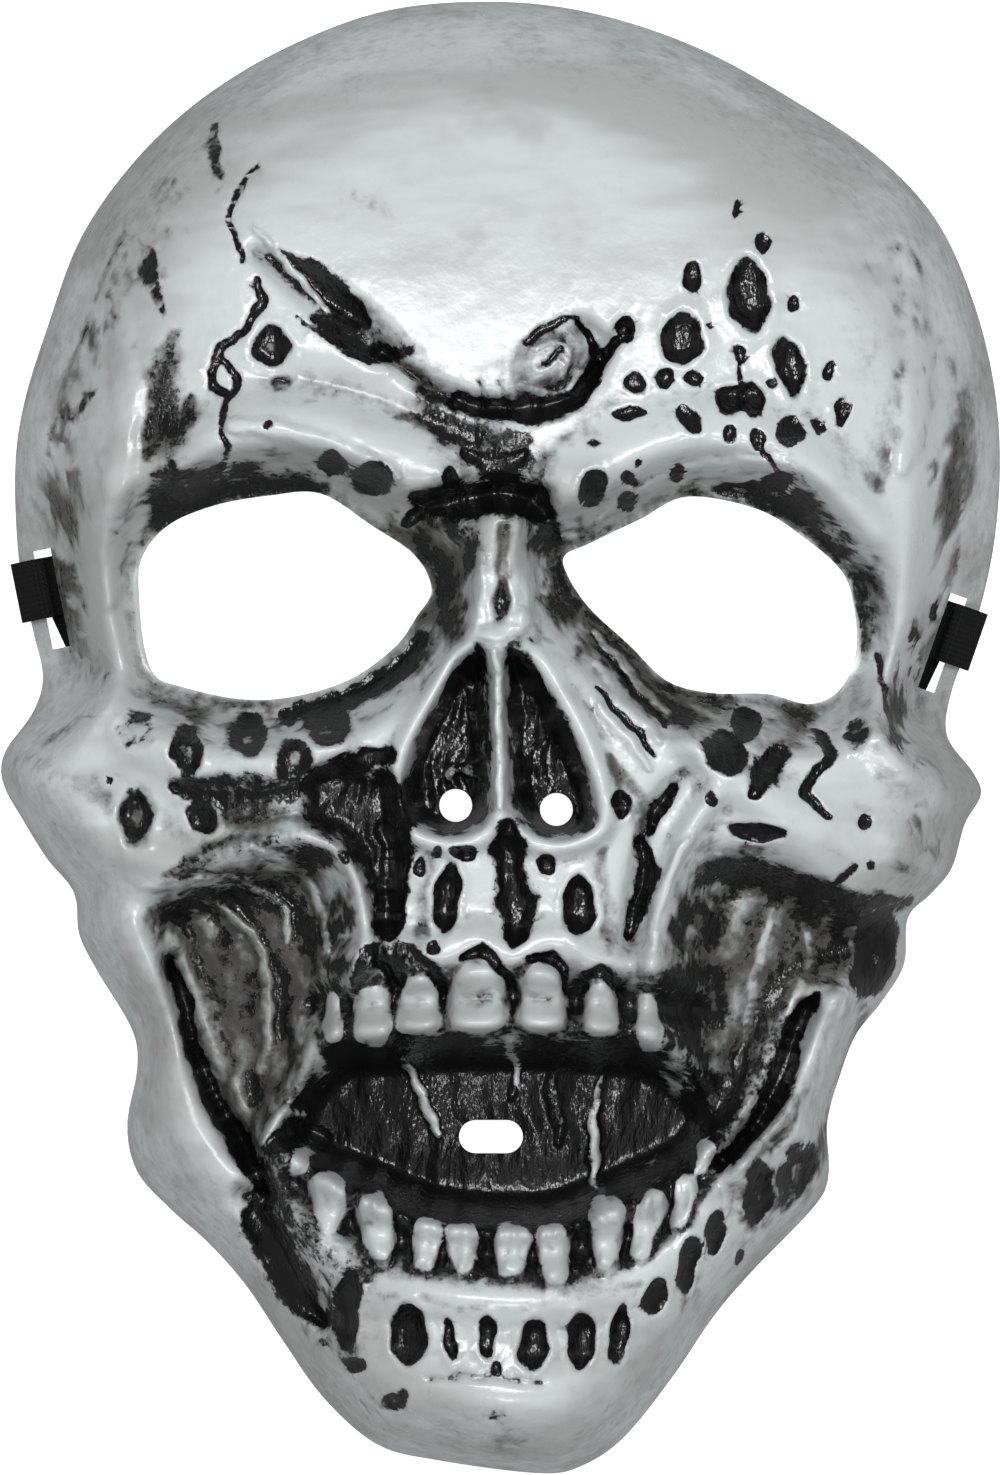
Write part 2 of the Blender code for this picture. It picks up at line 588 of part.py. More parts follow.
def band_stations():
    """The band's centre line from one sewn end to the other: place and the level direction of its width."""
    ends = {}
    for name, (side, down) in STRAPS.items():
        rim, inward, bar = rim_at(side, down)
        loop = []
        for distance, height in bar_loop(rim, inward, bar):
            spot = rim + inward * distance
            loop.append((Vector((spot.x, spot.y, height)), Vector((bar.x, bar.y, 0))))
        ends[name] = loop
    stations = list(ends["left"])
    start, start_width = ends["left"][-1]
    finish, finish_width = ends["right"][-1]
    steps = 22
    for step in range(1, steps):
        share = step / steps
        spot = start.lerp(finish, share)
        spot.y += BAND_BOW * 4 * share * (1 - share)
        slope = (finish.y - start.y + BAND_BOW * 4 * (1 - 2 * share)) / (finish.x - start.x)
        level = Vector((-slope, 1, 0)).normalized()
        near_start = max(0.0, 1 - share * 8)
        near_finish = max(0.0, 1 - (1 - share) * 8)
        width = level + (start_width - level) * near_start + (finish_width - level) * near_finish
        stations.append((spot, width.normalized()))
    return stations + ends["right"][::-1]


def build_band():
    stations = band_stations()
    bm = bmesh.new()
    bmesh.ops.create_grid(bm, x_segments=len(stations) - 1, y_segments=1, size=1)
    for vert in bm.verts:
        index = round((vert.co.x + 1) / 2 * (len(stations) - 1))
        spot, width = stations[index]
        vert.co = spot + width * (vert.co.y * BAND_WIDE / 2)
    bmesh.ops.recalc_face_normals(bm, faces=bm.faces)
    band = object_from(bm, "elastic_band", make_material("black_elastic", BAND_BLACK, 0.85))
    thick = band.modifiers.new("thickness", "SOLIDIFY")
    thick.thickness = BAND_THICK
    thick.offset = 0
    thick.use_even_offset = True
    return band


clear_scene()
build_shell()
build_band()
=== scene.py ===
# %% [markdown]
# # A skull mask, moulded and painted
#
# The real mask is one sheet of white plastic, heated and sucked down over a mould. Black paint is washed over
# it and wiped off again, so the paint stays in every hollow. A black elastic band holds it on.
#
# The frame comes first: it holds the plain solids, their places and their sizes. Everything made below lies
# where those solids lie.

# %% Load the frame
import math

import bmesh
import bpy
import numpy as np
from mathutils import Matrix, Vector


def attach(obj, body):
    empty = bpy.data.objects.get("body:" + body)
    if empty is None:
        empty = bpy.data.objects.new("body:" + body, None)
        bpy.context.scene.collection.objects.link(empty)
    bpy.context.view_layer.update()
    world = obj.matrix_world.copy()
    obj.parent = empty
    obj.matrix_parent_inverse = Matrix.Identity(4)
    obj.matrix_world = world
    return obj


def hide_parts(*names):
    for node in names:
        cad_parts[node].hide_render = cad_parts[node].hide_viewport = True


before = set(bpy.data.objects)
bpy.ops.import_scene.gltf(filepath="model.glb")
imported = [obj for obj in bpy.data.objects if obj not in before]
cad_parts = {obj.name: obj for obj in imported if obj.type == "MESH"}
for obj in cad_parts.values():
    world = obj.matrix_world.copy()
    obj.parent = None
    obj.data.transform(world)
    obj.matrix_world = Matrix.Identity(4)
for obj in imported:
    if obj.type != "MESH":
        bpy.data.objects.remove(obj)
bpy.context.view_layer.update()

# %% [markdown]
# ## Sizes and the chart
#
# A face has no straight edges to measure from, so it is charted: a grid of 1000 steps over the mask's width
# and 1475 over its height, counted from the left edge and down from the crown. Heights are counted in steps
# of rise, 89 up to the bridge of the nose. Each table below can then be read beside a picture of the mask.

# %% Named sizes in metres, then the chart in steps
MASK_WIDE = 0.190
MASK_TALL = 0.280
MASK_DEEP = 0.082
SHEET = 0.0014
RIM_LIFT = 0.0034
STRAP_BAR = 0.0032
STRAP_SLOT_WIDE = 0.0034
STRAP_SLOT_LONG = 0.0190
NOSTRIL_HOLE = 0.0062
MOUTH_SLOT_LONG = 0.0121
MOUTH_SLOT_TALL = 0.0063
BAND_WIDE = 0.0114
BAND_THICK = 0.0012
BAND_GAP = 0.0004
BAND_SEAM = 0.0090
BAND_BOW = -0.0660

GRID_WIDE = 1000
GRID_TALL = 1475
GRID_RISE = 89
HUB_ACROSS = GRID_WIDE / 2
HUB_DOWN = GRID_TALL / 2
SHEET_STEPS = SHEET / MASK_WIDE * GRID_WIDE


def place_x(across):
    return (across - HUB_ACROSS) / GRID_WIDE * MASK_WIDE


def place_y(down):
    return (HUB_DOWN - down) / GRID_TALL * MASK_TALL


def place_z(rise):
    return rise / GRID_RISE * MASK_DEEP


def chart_at(x, y):
    """The chart's across and down for a place in metres."""
    return x / MASK_WIDE * GRID_WIDE + HUB_ACROSS, HUB_DOWN - y / MASK_TALL * GRID_TALL


print("one step of the chart, mm:", MASK_WIDE / GRID_WIDE * 1000, "and of rise:", round(place_z(1) * 1000, 2))

# %% [markdown]
# ## Drawing on the chart
#
# Four helpers read the tables. `smooth_line` draws a curve through a few points. `nearness` is 1 on such a
# curve and 0 at its half width, so it shapes a ridge, a crack or a streak of paint. `distance_outside` tells
# how far a place is outside a closed curve. `oval` does the same for a pit or a blob.
#
# They work on whole arrays of places at once, because a loop over every point in Python would be slow. Places
# too far from a feature are left out for the same reason.


# %% Helpers for the tables
def ease(share):
    """0 to 1 with a soft start and a soft end."""
    share = np.clip(share, 0, 1)
    return share * share * (3 - 2 * share)


def turned(across, down, lean):
    """Steps along and across a line that leans by some degrees, from steps across and down the chart."""
    turn = math.radians(lean)
    return across * math.cos(turn) + down * math.sin(turn), down * math.cos(turn) - across * math.sin(turn)


def smooth_line(points, steps=4, closed=False):
    """A curve through all the points, which bends evenly at each of them."""
    p = np.array(points, float)
    before = np.roll(p, 1, 0)
    after = np.roll(p, -1, 0)
    beyond = np.roll(p, -2, 0)
    if not closed:
        before[0] = p[0]
        after[-1] = p[-1]
        beyond[-2:] = p[-1]
    t = np.linspace(0, 1, steps, endpoint=False)[:, None, None]
    curve = p + 0.5 * (
        (after - before) * t
        + (2 * before - 5 * p + 4 * after - beyond) * t**2
        + (3 * p - before - 3 * after + beyond) * t**3
    )
    curve = curve.transpose(1, 0, 2).reshape(-1, 2)
    return curve if closed else curve[: (len(p) - 1) * steps + 1]


def nearby(across, down, points, margin):
    """Which places lie in the box round some points."""
    low = np.min(points, 0) - margin
    high = np.max(points, 0) + margin
    return (across > low[0]) & (across < high[0]) & (down > low[1]) & (down < high[1])


def distance_outside(across, down, edge, margin=200):
    """Steps outside a closed curve, negative inside it."""
    loop = smooth_line(edge, 4, closed=True)
    near = nearby(across, down, loop, margin)
    x, y = across[near], down[near]
    nearest = np.full(x.shape, np.inf)
    inside = np.zeros(x.shape, bool)
    for (x0, y0), (x1, y1) in zip(loop, np.roll(loop, -1, 0)):
        run, fall = x1 - x0, y1 - y0
        t = np.clip(((x - x0) * run + (y - y0) * fall) / (run * run + fall * fall), 0, 1)
        nearest = np.minimum(nearest, np.hypot(x - x0 - t * run, y - y0 - t * fall))
        if fall:
            inside ^= ((y0 > y) != (y1 > y)) & (x < run * (y - y0) / fall + x0)
    result = np.full(across.shape, float(margin))
    result[near] = np.where(inside, -nearest, nearest)
    return result


def nearness(across, down, points, half_widths):
    """1 on a curve, falling to 0 at its half width, which may change from end to end."""
    line = smooth_line(points)
    stations = np.linspace(0, 1, np.size(half_widths))
    widths = np.interp(np.linspace(0, 1, len(line)), stations, np.atleast_1d(half_widths))
    near = nearby(across, down, line, np.max(widths))
    x, y = across[near], down[near]
    most = np.zeros(x.shape)
    for (x0, y0), (x1, y1), w0, w1 in zip(line[:-1], line[1:], widths[:-1], widths[1:]):
        run, fall = x1 - x0, y1 - y0
        t = np.clip(((x - x0) * run + (y - y0) * fall) / (run * run + fall * fall), 0, 1)
        most = np.maximum(most, 1 - np.hypot(x - x0 - t * run, y - y0 - t * fall) / (w0 + (w1 - w0) * t))
    result = np.zeros(across.shape)
    result[near] = most
    return result


def oval(across, down, middle, half_sizes, lean=0, margin=2.0):
    """Distance from the middle of an oval as a share of its half sizes: 1 on its edge."""
    reach = max(half_sizes) * margin
    result = np.full(across.shape, margin)
    near = (np.abs(across - middle[0]) < reach) & (np.abs(down - middle[1]) < reach)
    right, below = turned(across[near] - middle[0], down[near] - middle[1], lean)
    result[near] = np.minimum(np.hypot(right / half_sizes[0], below / half_sizes[1]), margin)
    return result


def table_curve(table, column, where):
    """A smooth curve through one column of a table, read at places of its first column."""
    rows = np.array(table, float)
    x, y = rows[:, 0], rows[:, column]
    slope = np.gradient(y, x)
    i = np.clip(np.searchsorted(x, where) - 1, 0, len(x) - 2)
    span = x[i + 1] - x[i]
    t = np.clip((where - x[i]) / span, 0, 1)
    return (
        (1 + 2 * t) * (1 - t) ** 2 * y[i]
        + t * (1 - t) ** 2 * span * slope[i]
        + t * t * (3 - 2 * t) * y[i + 1]
        + t * t * (t - 1) * span * slope[i + 1]
    )


# %% [markdown]
# ## The main form
#
# These tables follow those of the solids, so the detailed skin lies where the solids lie. Only the gash and
# the frown are finer here, and the teeth lie a little differently and stand lower. The rim's outline comes
# first, then the wall that climbs from the rim, then cross-sections of the face, and then the hollows and
# folds that make it a skull.

# %% Tables of the main form
# The rim, clockwise from the crown: across, down.
OUTLINE = [
    (502, 1), (600, 14), (700, 48), (798, 102), (880, 158), (938, 222), (975, 306), (995, 390),
    (1000, 470), (993, 550), (975, 626), (952, 690), (947, 735), (973, 772), (981, 795), (965, 824),
    (952, 868), (931, 894), (908, 918), (904, 965), (881, 1003), (856, 1035), (840, 1076), (827, 1124),
    (829, 1172), (816, 1205), (751, 1273), (713, 1318), (673, 1377), (625, 1437), (583, 1466), (540, 1474),
    (438, 1461), (377, 1445), (324, 1399), (282, 1340), (246, 1286), (209, 1244), (171, 1210), (137, 1172),
    (127, 1125), (137, 1070), (132, 1030), (97, 971), (79, 934), (74, 893), (47, 859), (24, 822),
    (3, 783), (5, 752), (33, 712), (43, 676), (33, 630), (19, 560), (15, 470), (24, 403),
    (48, 325), (81, 237), (135, 160), (203, 97), (290, 45), (390, 9),
]

# The side wall at each bearing from the hub, in degrees from +X towards the crown: run is how far in from the
# rim it goes on climbing, and flare is 1 where its foot spreads out into a skirt that carries a strap slot.
WALL_TABLE = [
    (0, 70, 0.7), (4, 80, 1.0), (14, 92, 1.0), (20, 105, 0.7), (32, 115, 0.3), (60, 150, 0.0),
    (90, 150, 0.0), (120, 150, 0.0), (148, 115, 0.3), (157, 106, 0.9), (170, 92, 1.0), (177, 72, 0.6),
    (184, 85, 0.0), (192, 75, 0.0), (205, 60, 0.0), (215, 60, 0.0), (225, 80, 0.0), (240, 85, 0.0),
    (255, 90, 0.0), (270, 80, 0.0), (285, 90, 0.0), (300, 80, 0.0), (315, 60, 0.0), (330, 60, 0.0),
    (342, 75, 0.0), (352, 85, 0.2),
]

# Cross-sections of the face before its features: down, rise at the middle, rise at the side, half width and
# fullness.
SECTION_TABLE = [
    (0, 46, 40, 330, 2.0), (60, 58, 46, 400, 2.0), (150, 68, 52, 440, 2.0), (260, 76, 54, 480, 2.2),
    (380, 80, 54, 490, 2.4), (480, 82, 54, 490, 2.4), (600, 80, 50, 480, 2.0), (700, 80, 48, 470, 2.0),
    (780, 80, 50, 480, 2.2), (880, 78, 44, 440, 2.2), (980, 77, 36, 410, 2.0), (1080, 74, 32, 370, 2.0),
    (1180, 70, 30, 360, 2.0), (1280, 68, 30, 300, 2.0), (1380, 66, 32, 220, 2.0), (1475, 56, 30, 150, 2.0),
]

# The eye holes' edges: across, down. Each lies at the bottom of a socket.
EYE_HOLES = {
    "left": [
        (141, 600), (143, 560), (169, 527), (215, 507), (270, 497), (322, 495), (373, 527), (415, 556),
        (432, 590), (418, 616), (395, 648), (350, 680), (293, 697), (240, 699), (180, 686), (157, 676),
        (146, 648),
    ],
    "right": [
        (564, 557), (590, 544), (640, 520), (686, 498), (755, 510), (803, 539), (842, 575), (854, 620),
        (853, 660), (836, 692), (807, 704), (765, 694), (710, 693), (666, 681), (628, 645), (590, 610),
        (568, 578),
    ],
}
SOCKET_DROP = 20
SOCKET_WIDE = 62

# Sunken fields with a floor: drop, width of the slope at the edge, and the edge as across, down.
HOLLOWS = {
    "left nose cavity": (17, 14, [
        (485, 648), (462, 660), (443, 692), (418, 740), (405, 785), (410, 812), (432, 830), (465, 832),
        (487, 810), (486, 740),
    ]),
    "right nose cavity": (17, 14, [
        (505, 650), (532, 674), (553, 710), (577, 758), (591, 802), (588, 824), (562, 836), (536, 828),
        (516, 803), (508, 730),
    ]),
    "mouth": (27, 34, [
        (338, 1046), (400, 1040), (500, 1036), (600, 1040), (662, 1050), (702, 1090), (712, 1130),
        (690, 1162), (640, 1188), (600, 1205), (550, 1222), (480, 1222), (420, 1212), (370, 1190),
        (318, 1168), (283, 1138), (290, 1100), (318, 1062),
    ]),
    "left cheek": (17, 46, [
        (150, 905), (190, 878), (250, 858), (310, 846), (345, 880), (352, 930), (342, 985), (325, 1040),
        (305, 1100), (270, 1150), (242, 1165), (215, 1120), (192, 1060), (172, 1000), (158, 950),
    ]),
    "right cheek": (17, 46, [
        (690, 872), (730, 846), (790, 862), (850, 903), (893, 912), (896, 950), (862, 985), (815, 1000),
        (790, 1042), (765, 1090), (728, 1140), (690, 1120), (678, 1060), (674, 1000), (672, 930),
    ]),
    "left of the upper jaw": (8, 20, [
        (325, 765), (365, 766), (400, 775), (405, 830), (400, 890), (388, 935), (373, 920), (362, 880),
        (345, 850), (312, 828), (305, 790),
    ]),
    "right of the upper jaw": (6, 16, [
        (690, 768), (672, 800), (652, 830), (646, 880), (640, 930), (628, 960), (618, 930), (628, 860),
        (640, 810), (665, 775),
    ]),
}

# Raised and sunken lines of the face: rise, half widths from end to end, and the line as across, down.
FOLDS = {
    "left brow": (7, (40, 58, 50), [(180, 478), (250, 432), (340, 440), (430, 478)]),
    "right brow": (7, (50, 56, 50, 40), [(570, 492), (630, 462), (710, 440), (800, 462), (860, 540)]),
    "hollow over the left brow": (-3, (40, 40), [(280, 385), (380, 408), (470, 440)]),
    "gash in the forehead": (-4, (12, 30, 30), [(258, 255), (305, 290), (345, 318), (380, 350)]),
    "frown": (-5, (8, 18, 24, 14), [
        (380, 352), (430, 388), (485, 408), (535, 404), (578, 380), (597, 350), (580, 328),
    ]),
    "end of the frown": (-4, (12, 10), [(590, 378), (606, 350), (626, 330)]),
    "root of the nose": (-10, (26, 30, 26), [(425, 507), (480, 498), (540, 502)]),
    "bridge of the nose": (10, (34, 44, 46), [(503, 520), (500, 600), (497, 640)]),
    "seam of the nose": (-5, (12, 14, 8), [(504, 530), (500, 590), (497, 632)]),
    "rim of the nose": (5, 16, [
        (497, 642), (455, 655), (430, 700), (405, 745), (393, 790), (398, 824), (440, 843), (480, 838),
        (499, 822), (520, 838), (560, 846), (600, 830), (603, 795), (588, 745), (562, 695), (535, 655),
        (497, 642),
    ]),
    "wall between the nostrils": (6, (13, 11, 18), [(497, 655), (498, 740), (500, 815)]),
    "left cheekbone": (6, (50, 60, 40), [(150, 740), (240, 770), (330, 745)]),
    "left cheekbone's lower edge": (6, (50, 40, 26), [
        (20, 785), (110, 845), (185, 866), (250, 848), (310, 838),
    ]),
    "left of the upper teeth": (6, (26, 18, 16), [(335, 842), (358, 880), (366, 940), (352, 985)]),
    "right cheekbone": (7, (30, 50, 60), [(690, 740), (760, 800), (850, 850), (930, 850)]),
    "right cheekbone's end": (5, (50, 45), [(870, 720), (940, 800)]),
    "right of the upper teeth": (6, (20, 22, 18), [(712, 795), (678, 850), (658, 920), (650, 970)]),
    "left jaw": (5, (40, 45, 40), [(125, 935), (160, 1010), (165, 1090), (205, 1180), (245, 1228)]),
    "right jaw": (7, (24, 26, 22), [(840, 1000), (825, 1050), (795, 1100), (735, 1168)]),
    "groove in the left jaw": (-9, (14, 20, 16), [
        (172, 960), (192, 1030), (217, 1092), (250, 1150), (270, 1195),
    ]),
    "groove in the right jaw": (-10, (18, 20, 14), [(806, 1008), (790, 1050), (765, 1106), (722, 1160)]),
    "hollow in the left jaw": (-9, (26, 36, 20), [(250, 1195), (285, 1252), (325, 1318)]),
    "hollow in the right jaw": (-5, (30, 34), [(775, 1150), (812, 1175)]),
    "upper gum": (5, 30, [
        (330, 965), (390, 950), (440, 955), (475, 938), (512, 955), (550, 938), (600, 958), (670, 965),
    ]),
    "trough of the upper teeth": (-7, 28, [(322, 1005), (400, 1000), (500, 995), (600, 1000), (690, 1010)]),
    "trough of the lower teeth": (-6, 28, [
        (300, 1180), (345, 1215), (420, 1240), (510, 1248), (600, 1240), (650, 1220), (705, 1160),
    ]),
    "lower gum": (4, 32, [
        (300, 1225), (360, 1282), (430, 1292), (520, 1298), (600, 1292), (660, 1262), (702, 1210),
    ]),
    "chin": (5, (60, 90, 60), [(390, 1408), (470, 1418), (570, 1412)]),
}

# The teeth: across, down, half width, half height, lean in degrees, rise.
TEETH = [
    (334, 1016, 9, 28, 2, 6), (374, 1015, 20, 34, 3, 9), (419, 1003, 23, 32, 3, 10),
    (478, 997, 30, 38, 0, 12), (542, 997, 25, 36, 1, 12), (600, 1008, 18, 29, -3, 10),
    (647, 1020, 12, 32, -2, 7), (300, 1160, 9, 15, 10, 5), (330, 1198, 16, 32, -8, 8),
    (378, 1223, 17, 38, -10, 9), (427, 1240, 16, 27, 5, 8), (463, 1244, 16, 27, -3, 8),
    (512, 1246, 19, 28, 0, 9), (553, 1250, 17, 33, -2, 9), (606, 1228, 17, 42, 3, 11),
    (646, 1222, 14, 38, 18, 9), (682, 1198, 11, 30, 16, 7), (701, 1156, 8, 20, 12, 5),
]

# Punched air holes: across, down. Then the side and height of each strap slot, and where the rim arches.
NOSTRILS = {"left": (456, 805), "right": (556, 809)}
MOUTH_SLOT = (491, 1135)
STRAPS = {"left": (-1, 592), "right": (1, 640)}
ARCH_DOWN = 625
ARCH_HALF = 125
print(len(HOLLOWS), "hollows,", len(FOLDS), "folds,", len(TEETH), "teeth")

# %% [markdown]
# ## The fine relief
#
# Old bone is pitted and cracked. On the mask these pits are a few millimetres across and have soft edges,
# because the sheet can't follow a sharp corner of the mould. Each row also says how much black paint stays in
# the pit, so relief and paint always agree, as on the real mask.

# %% Pits: across, down, half width, half height, lean in degrees, depth, paint
PITS = [
    (734, 213, 4, 9, 0, 0.7, 0.75), (759, 245, 7, 10, 0, 1.0, 0.8), (690, 281, 8, 14, 0, 1.5, 0.95),
    (746, 298, 19, 33, -4, 3.2, 0.85), (792, 306, 6, 9, 0, 1.2, 0.9), (680, 341, 18, 23, 5, 2.8, 0.95),
    (709, 330, 4, 4, 0, 0.5, 0.7), (738, 357, 6, 9, 0, 1.0, 0.85), (787, 370, 13, 28, -15, 2.4, 0.6),
    (802, 364, 3, 6, 0, 0.4, 0.4), (826, 374, 6, 9, 0, 1.2, 0.9), (633, 384, 9, 9, 0, 1.2, 0.95),
    (662, 381, 9, 9, 0, 1.2, 0.9), (692, 382, 8, 7, 0, 1.2, 0.95), (730, 402, 13, 15, 20, 2.2, 0.9),
    (748, 402, 11, 15, -15, 2.2, 0.85), (769, 387, 6, 4, 0, 0.8, 0.8), (628, 416, 16, 6, 0, 1.2, 0.95),
    (687, 421, 9, 15, -35, 1.6, 0.85), (727, 438, 8, 9, 0, 1.0, 0.9), (757, 441, 8, 10, 0, 1.2, 0.9),
    (787, 434, 11, 14, 0, 1.8, 0.9), (814, 430, 6, 7, 0, 1.0, 0.85), (839, 415, 7, 11, 0, 1.2, 0.95),
    (593, 446, 4, 4, 0, 0.3, 0.7), (636, 465, 4, 4, 0, 0.3, 0.7), (273, 349, 17, 18, 0, 2.2, 0.8),
    (284, 386, 12, 8, 0, 0.8, 0.3), (270, 429, 5, 4, 0, 0.5, 0.8), (395, 1396, 12, 10, -20, 1.6, 0.85),
    (495, 1413, 9, 8, 0, 0.8, 0.25), (324, 1340, 4, 4, 0, 0.3, 0.6), (112, 778, 3, 3, 0, 0.3, 0.9),
    (592, 490, 13, 18, 30, 2.4, 1.0), (628, 480, 6, 7, 0, 1.2, 1.0), (625, 503, 9, 8, 0, 1.4, 1.0),
    (676, 476, 7, 8, 0, 1.3, 1.0), (774, 484, 14, 8, -15, 1.4, 0.9), (739, 491, 25, 7, 6, 1.0, 0.7),
    (333, 464, 11, 10, 0, 1.4, 1.0), (375, 481, 20, 15, 10, 2.4, 1.0), (449, 480, 6, 9, 0, 1.2, 1.0),
    (417, 498, 7, 7, 0, 1.2, 1.0), (412, 520, 12, 7, -15, 1.4, 1.0), (624, 328, 9, 8, 0, 1.2, 1.0),
    (625, 340, 7, 5, 0, 0.8, 0.9), (139, 731, 18, 17, 0, 2.0, 0.5), (188, 750, 14, 21, -8, 2.4, 0.85),
    (250, 735, 16, 20, -10, 2.6, 0.95), (290, 718, 8, 9, 0, 1.6, 1.0), (330, 728, 18, 17, 0, 2.4, 0.85),
    (295, 759, 16, 18, 20, 2.2, 0.85), (139, 817, 16, 27, 0, 2.2, 0.5), (204, 818, 14, 14, 0, 1.6, 0.8),
    (346, 855, 4, 5, 0, 0.5, 0.8), (745, 724, 12, 15, 0, 2.2, 1.0), (723, 754, 22, 17, 25, 2.4, 0.95),
    (854, 734, 11, 15, 0, 1.6, 0.5), (712, 799, 5, 9, 0, 0.8, 0.8), (755, 831, 26, 9, 4, 1.8, 1.0),
    (863, 823, 6, 8, 0, 1.0, 0.8), (867, 863, 5, 5, 0, 0.6, 0.8), (545, 864, 9, 9, 0, 1.8, 1.0),
    (464, 853, 12, 8, 0, 1.6, 1.0), (422, 864, 5, 8, 0, 1.0, 1.0), (439, 850, 5, 5, 0, 0.8, 1.0),
    (447, 898, 12, 30, 4, 3.4, 1.0), (578, 903, 14, 28, 0, 3.4, 0.85), (434, 945, 6, 7, 0, 1.0, 1.0),
    (390, 912, 11, 20, 0, 2.6, 1.0), (621, 804, 8, 13, 0, 1.8, 0.95), (348, 1307, 12, 34, 2, 3.0, 1.0),
    (356, 1362, 10, 8, 0, 1.4, 1.0), (409, 1331, 17, 27, -8, 3.0, 0.9), (450, 1336, 6, 20, 0, 2.0, 0.95),
    (487, 1333, 8, 19, 0, 2.0, 0.75), (498, 1363, 6, 8, 0, 1.2, 0.95), (533, 1340, 13, 24, 8, 3.0, 0.85),
    (581, 1338, 13, 24, 4, 3.0, 0.95), (618, 1331, 9, 29, 4, 2.8, 0.95), (654, 1294, 11, 18, 12, 2.6, 1.0),
    (687, 1262, 9, 25, 10, 2.6, 1.0), (713, 1230, 9, 20, 10, 2.4, 0.95), (738, 1256, 4, 8, 10, 1.0, 0.9),
    (905, 657, 12, 30, 6, 1.0, 0.35), (933, 613, 4, 8, 0, 0.6, 0.8), (874, 955, 20, 40, 12, 3.0, 0.95),
    (757, 1190, 12, 28, 6, 2.4, 0.8), (795, 1172, 16, 32, 14, 2.0, 0.6), (531, 581, 16, 18, 0, -1.6, 0.0),
    (523, 621, 15, 12, 0, -1.6, 0.0), (548, 368, 32, 30, -30, -2.2, 0.1), (500, 604, 9, 20, 0, 1.4, 0.35),
]

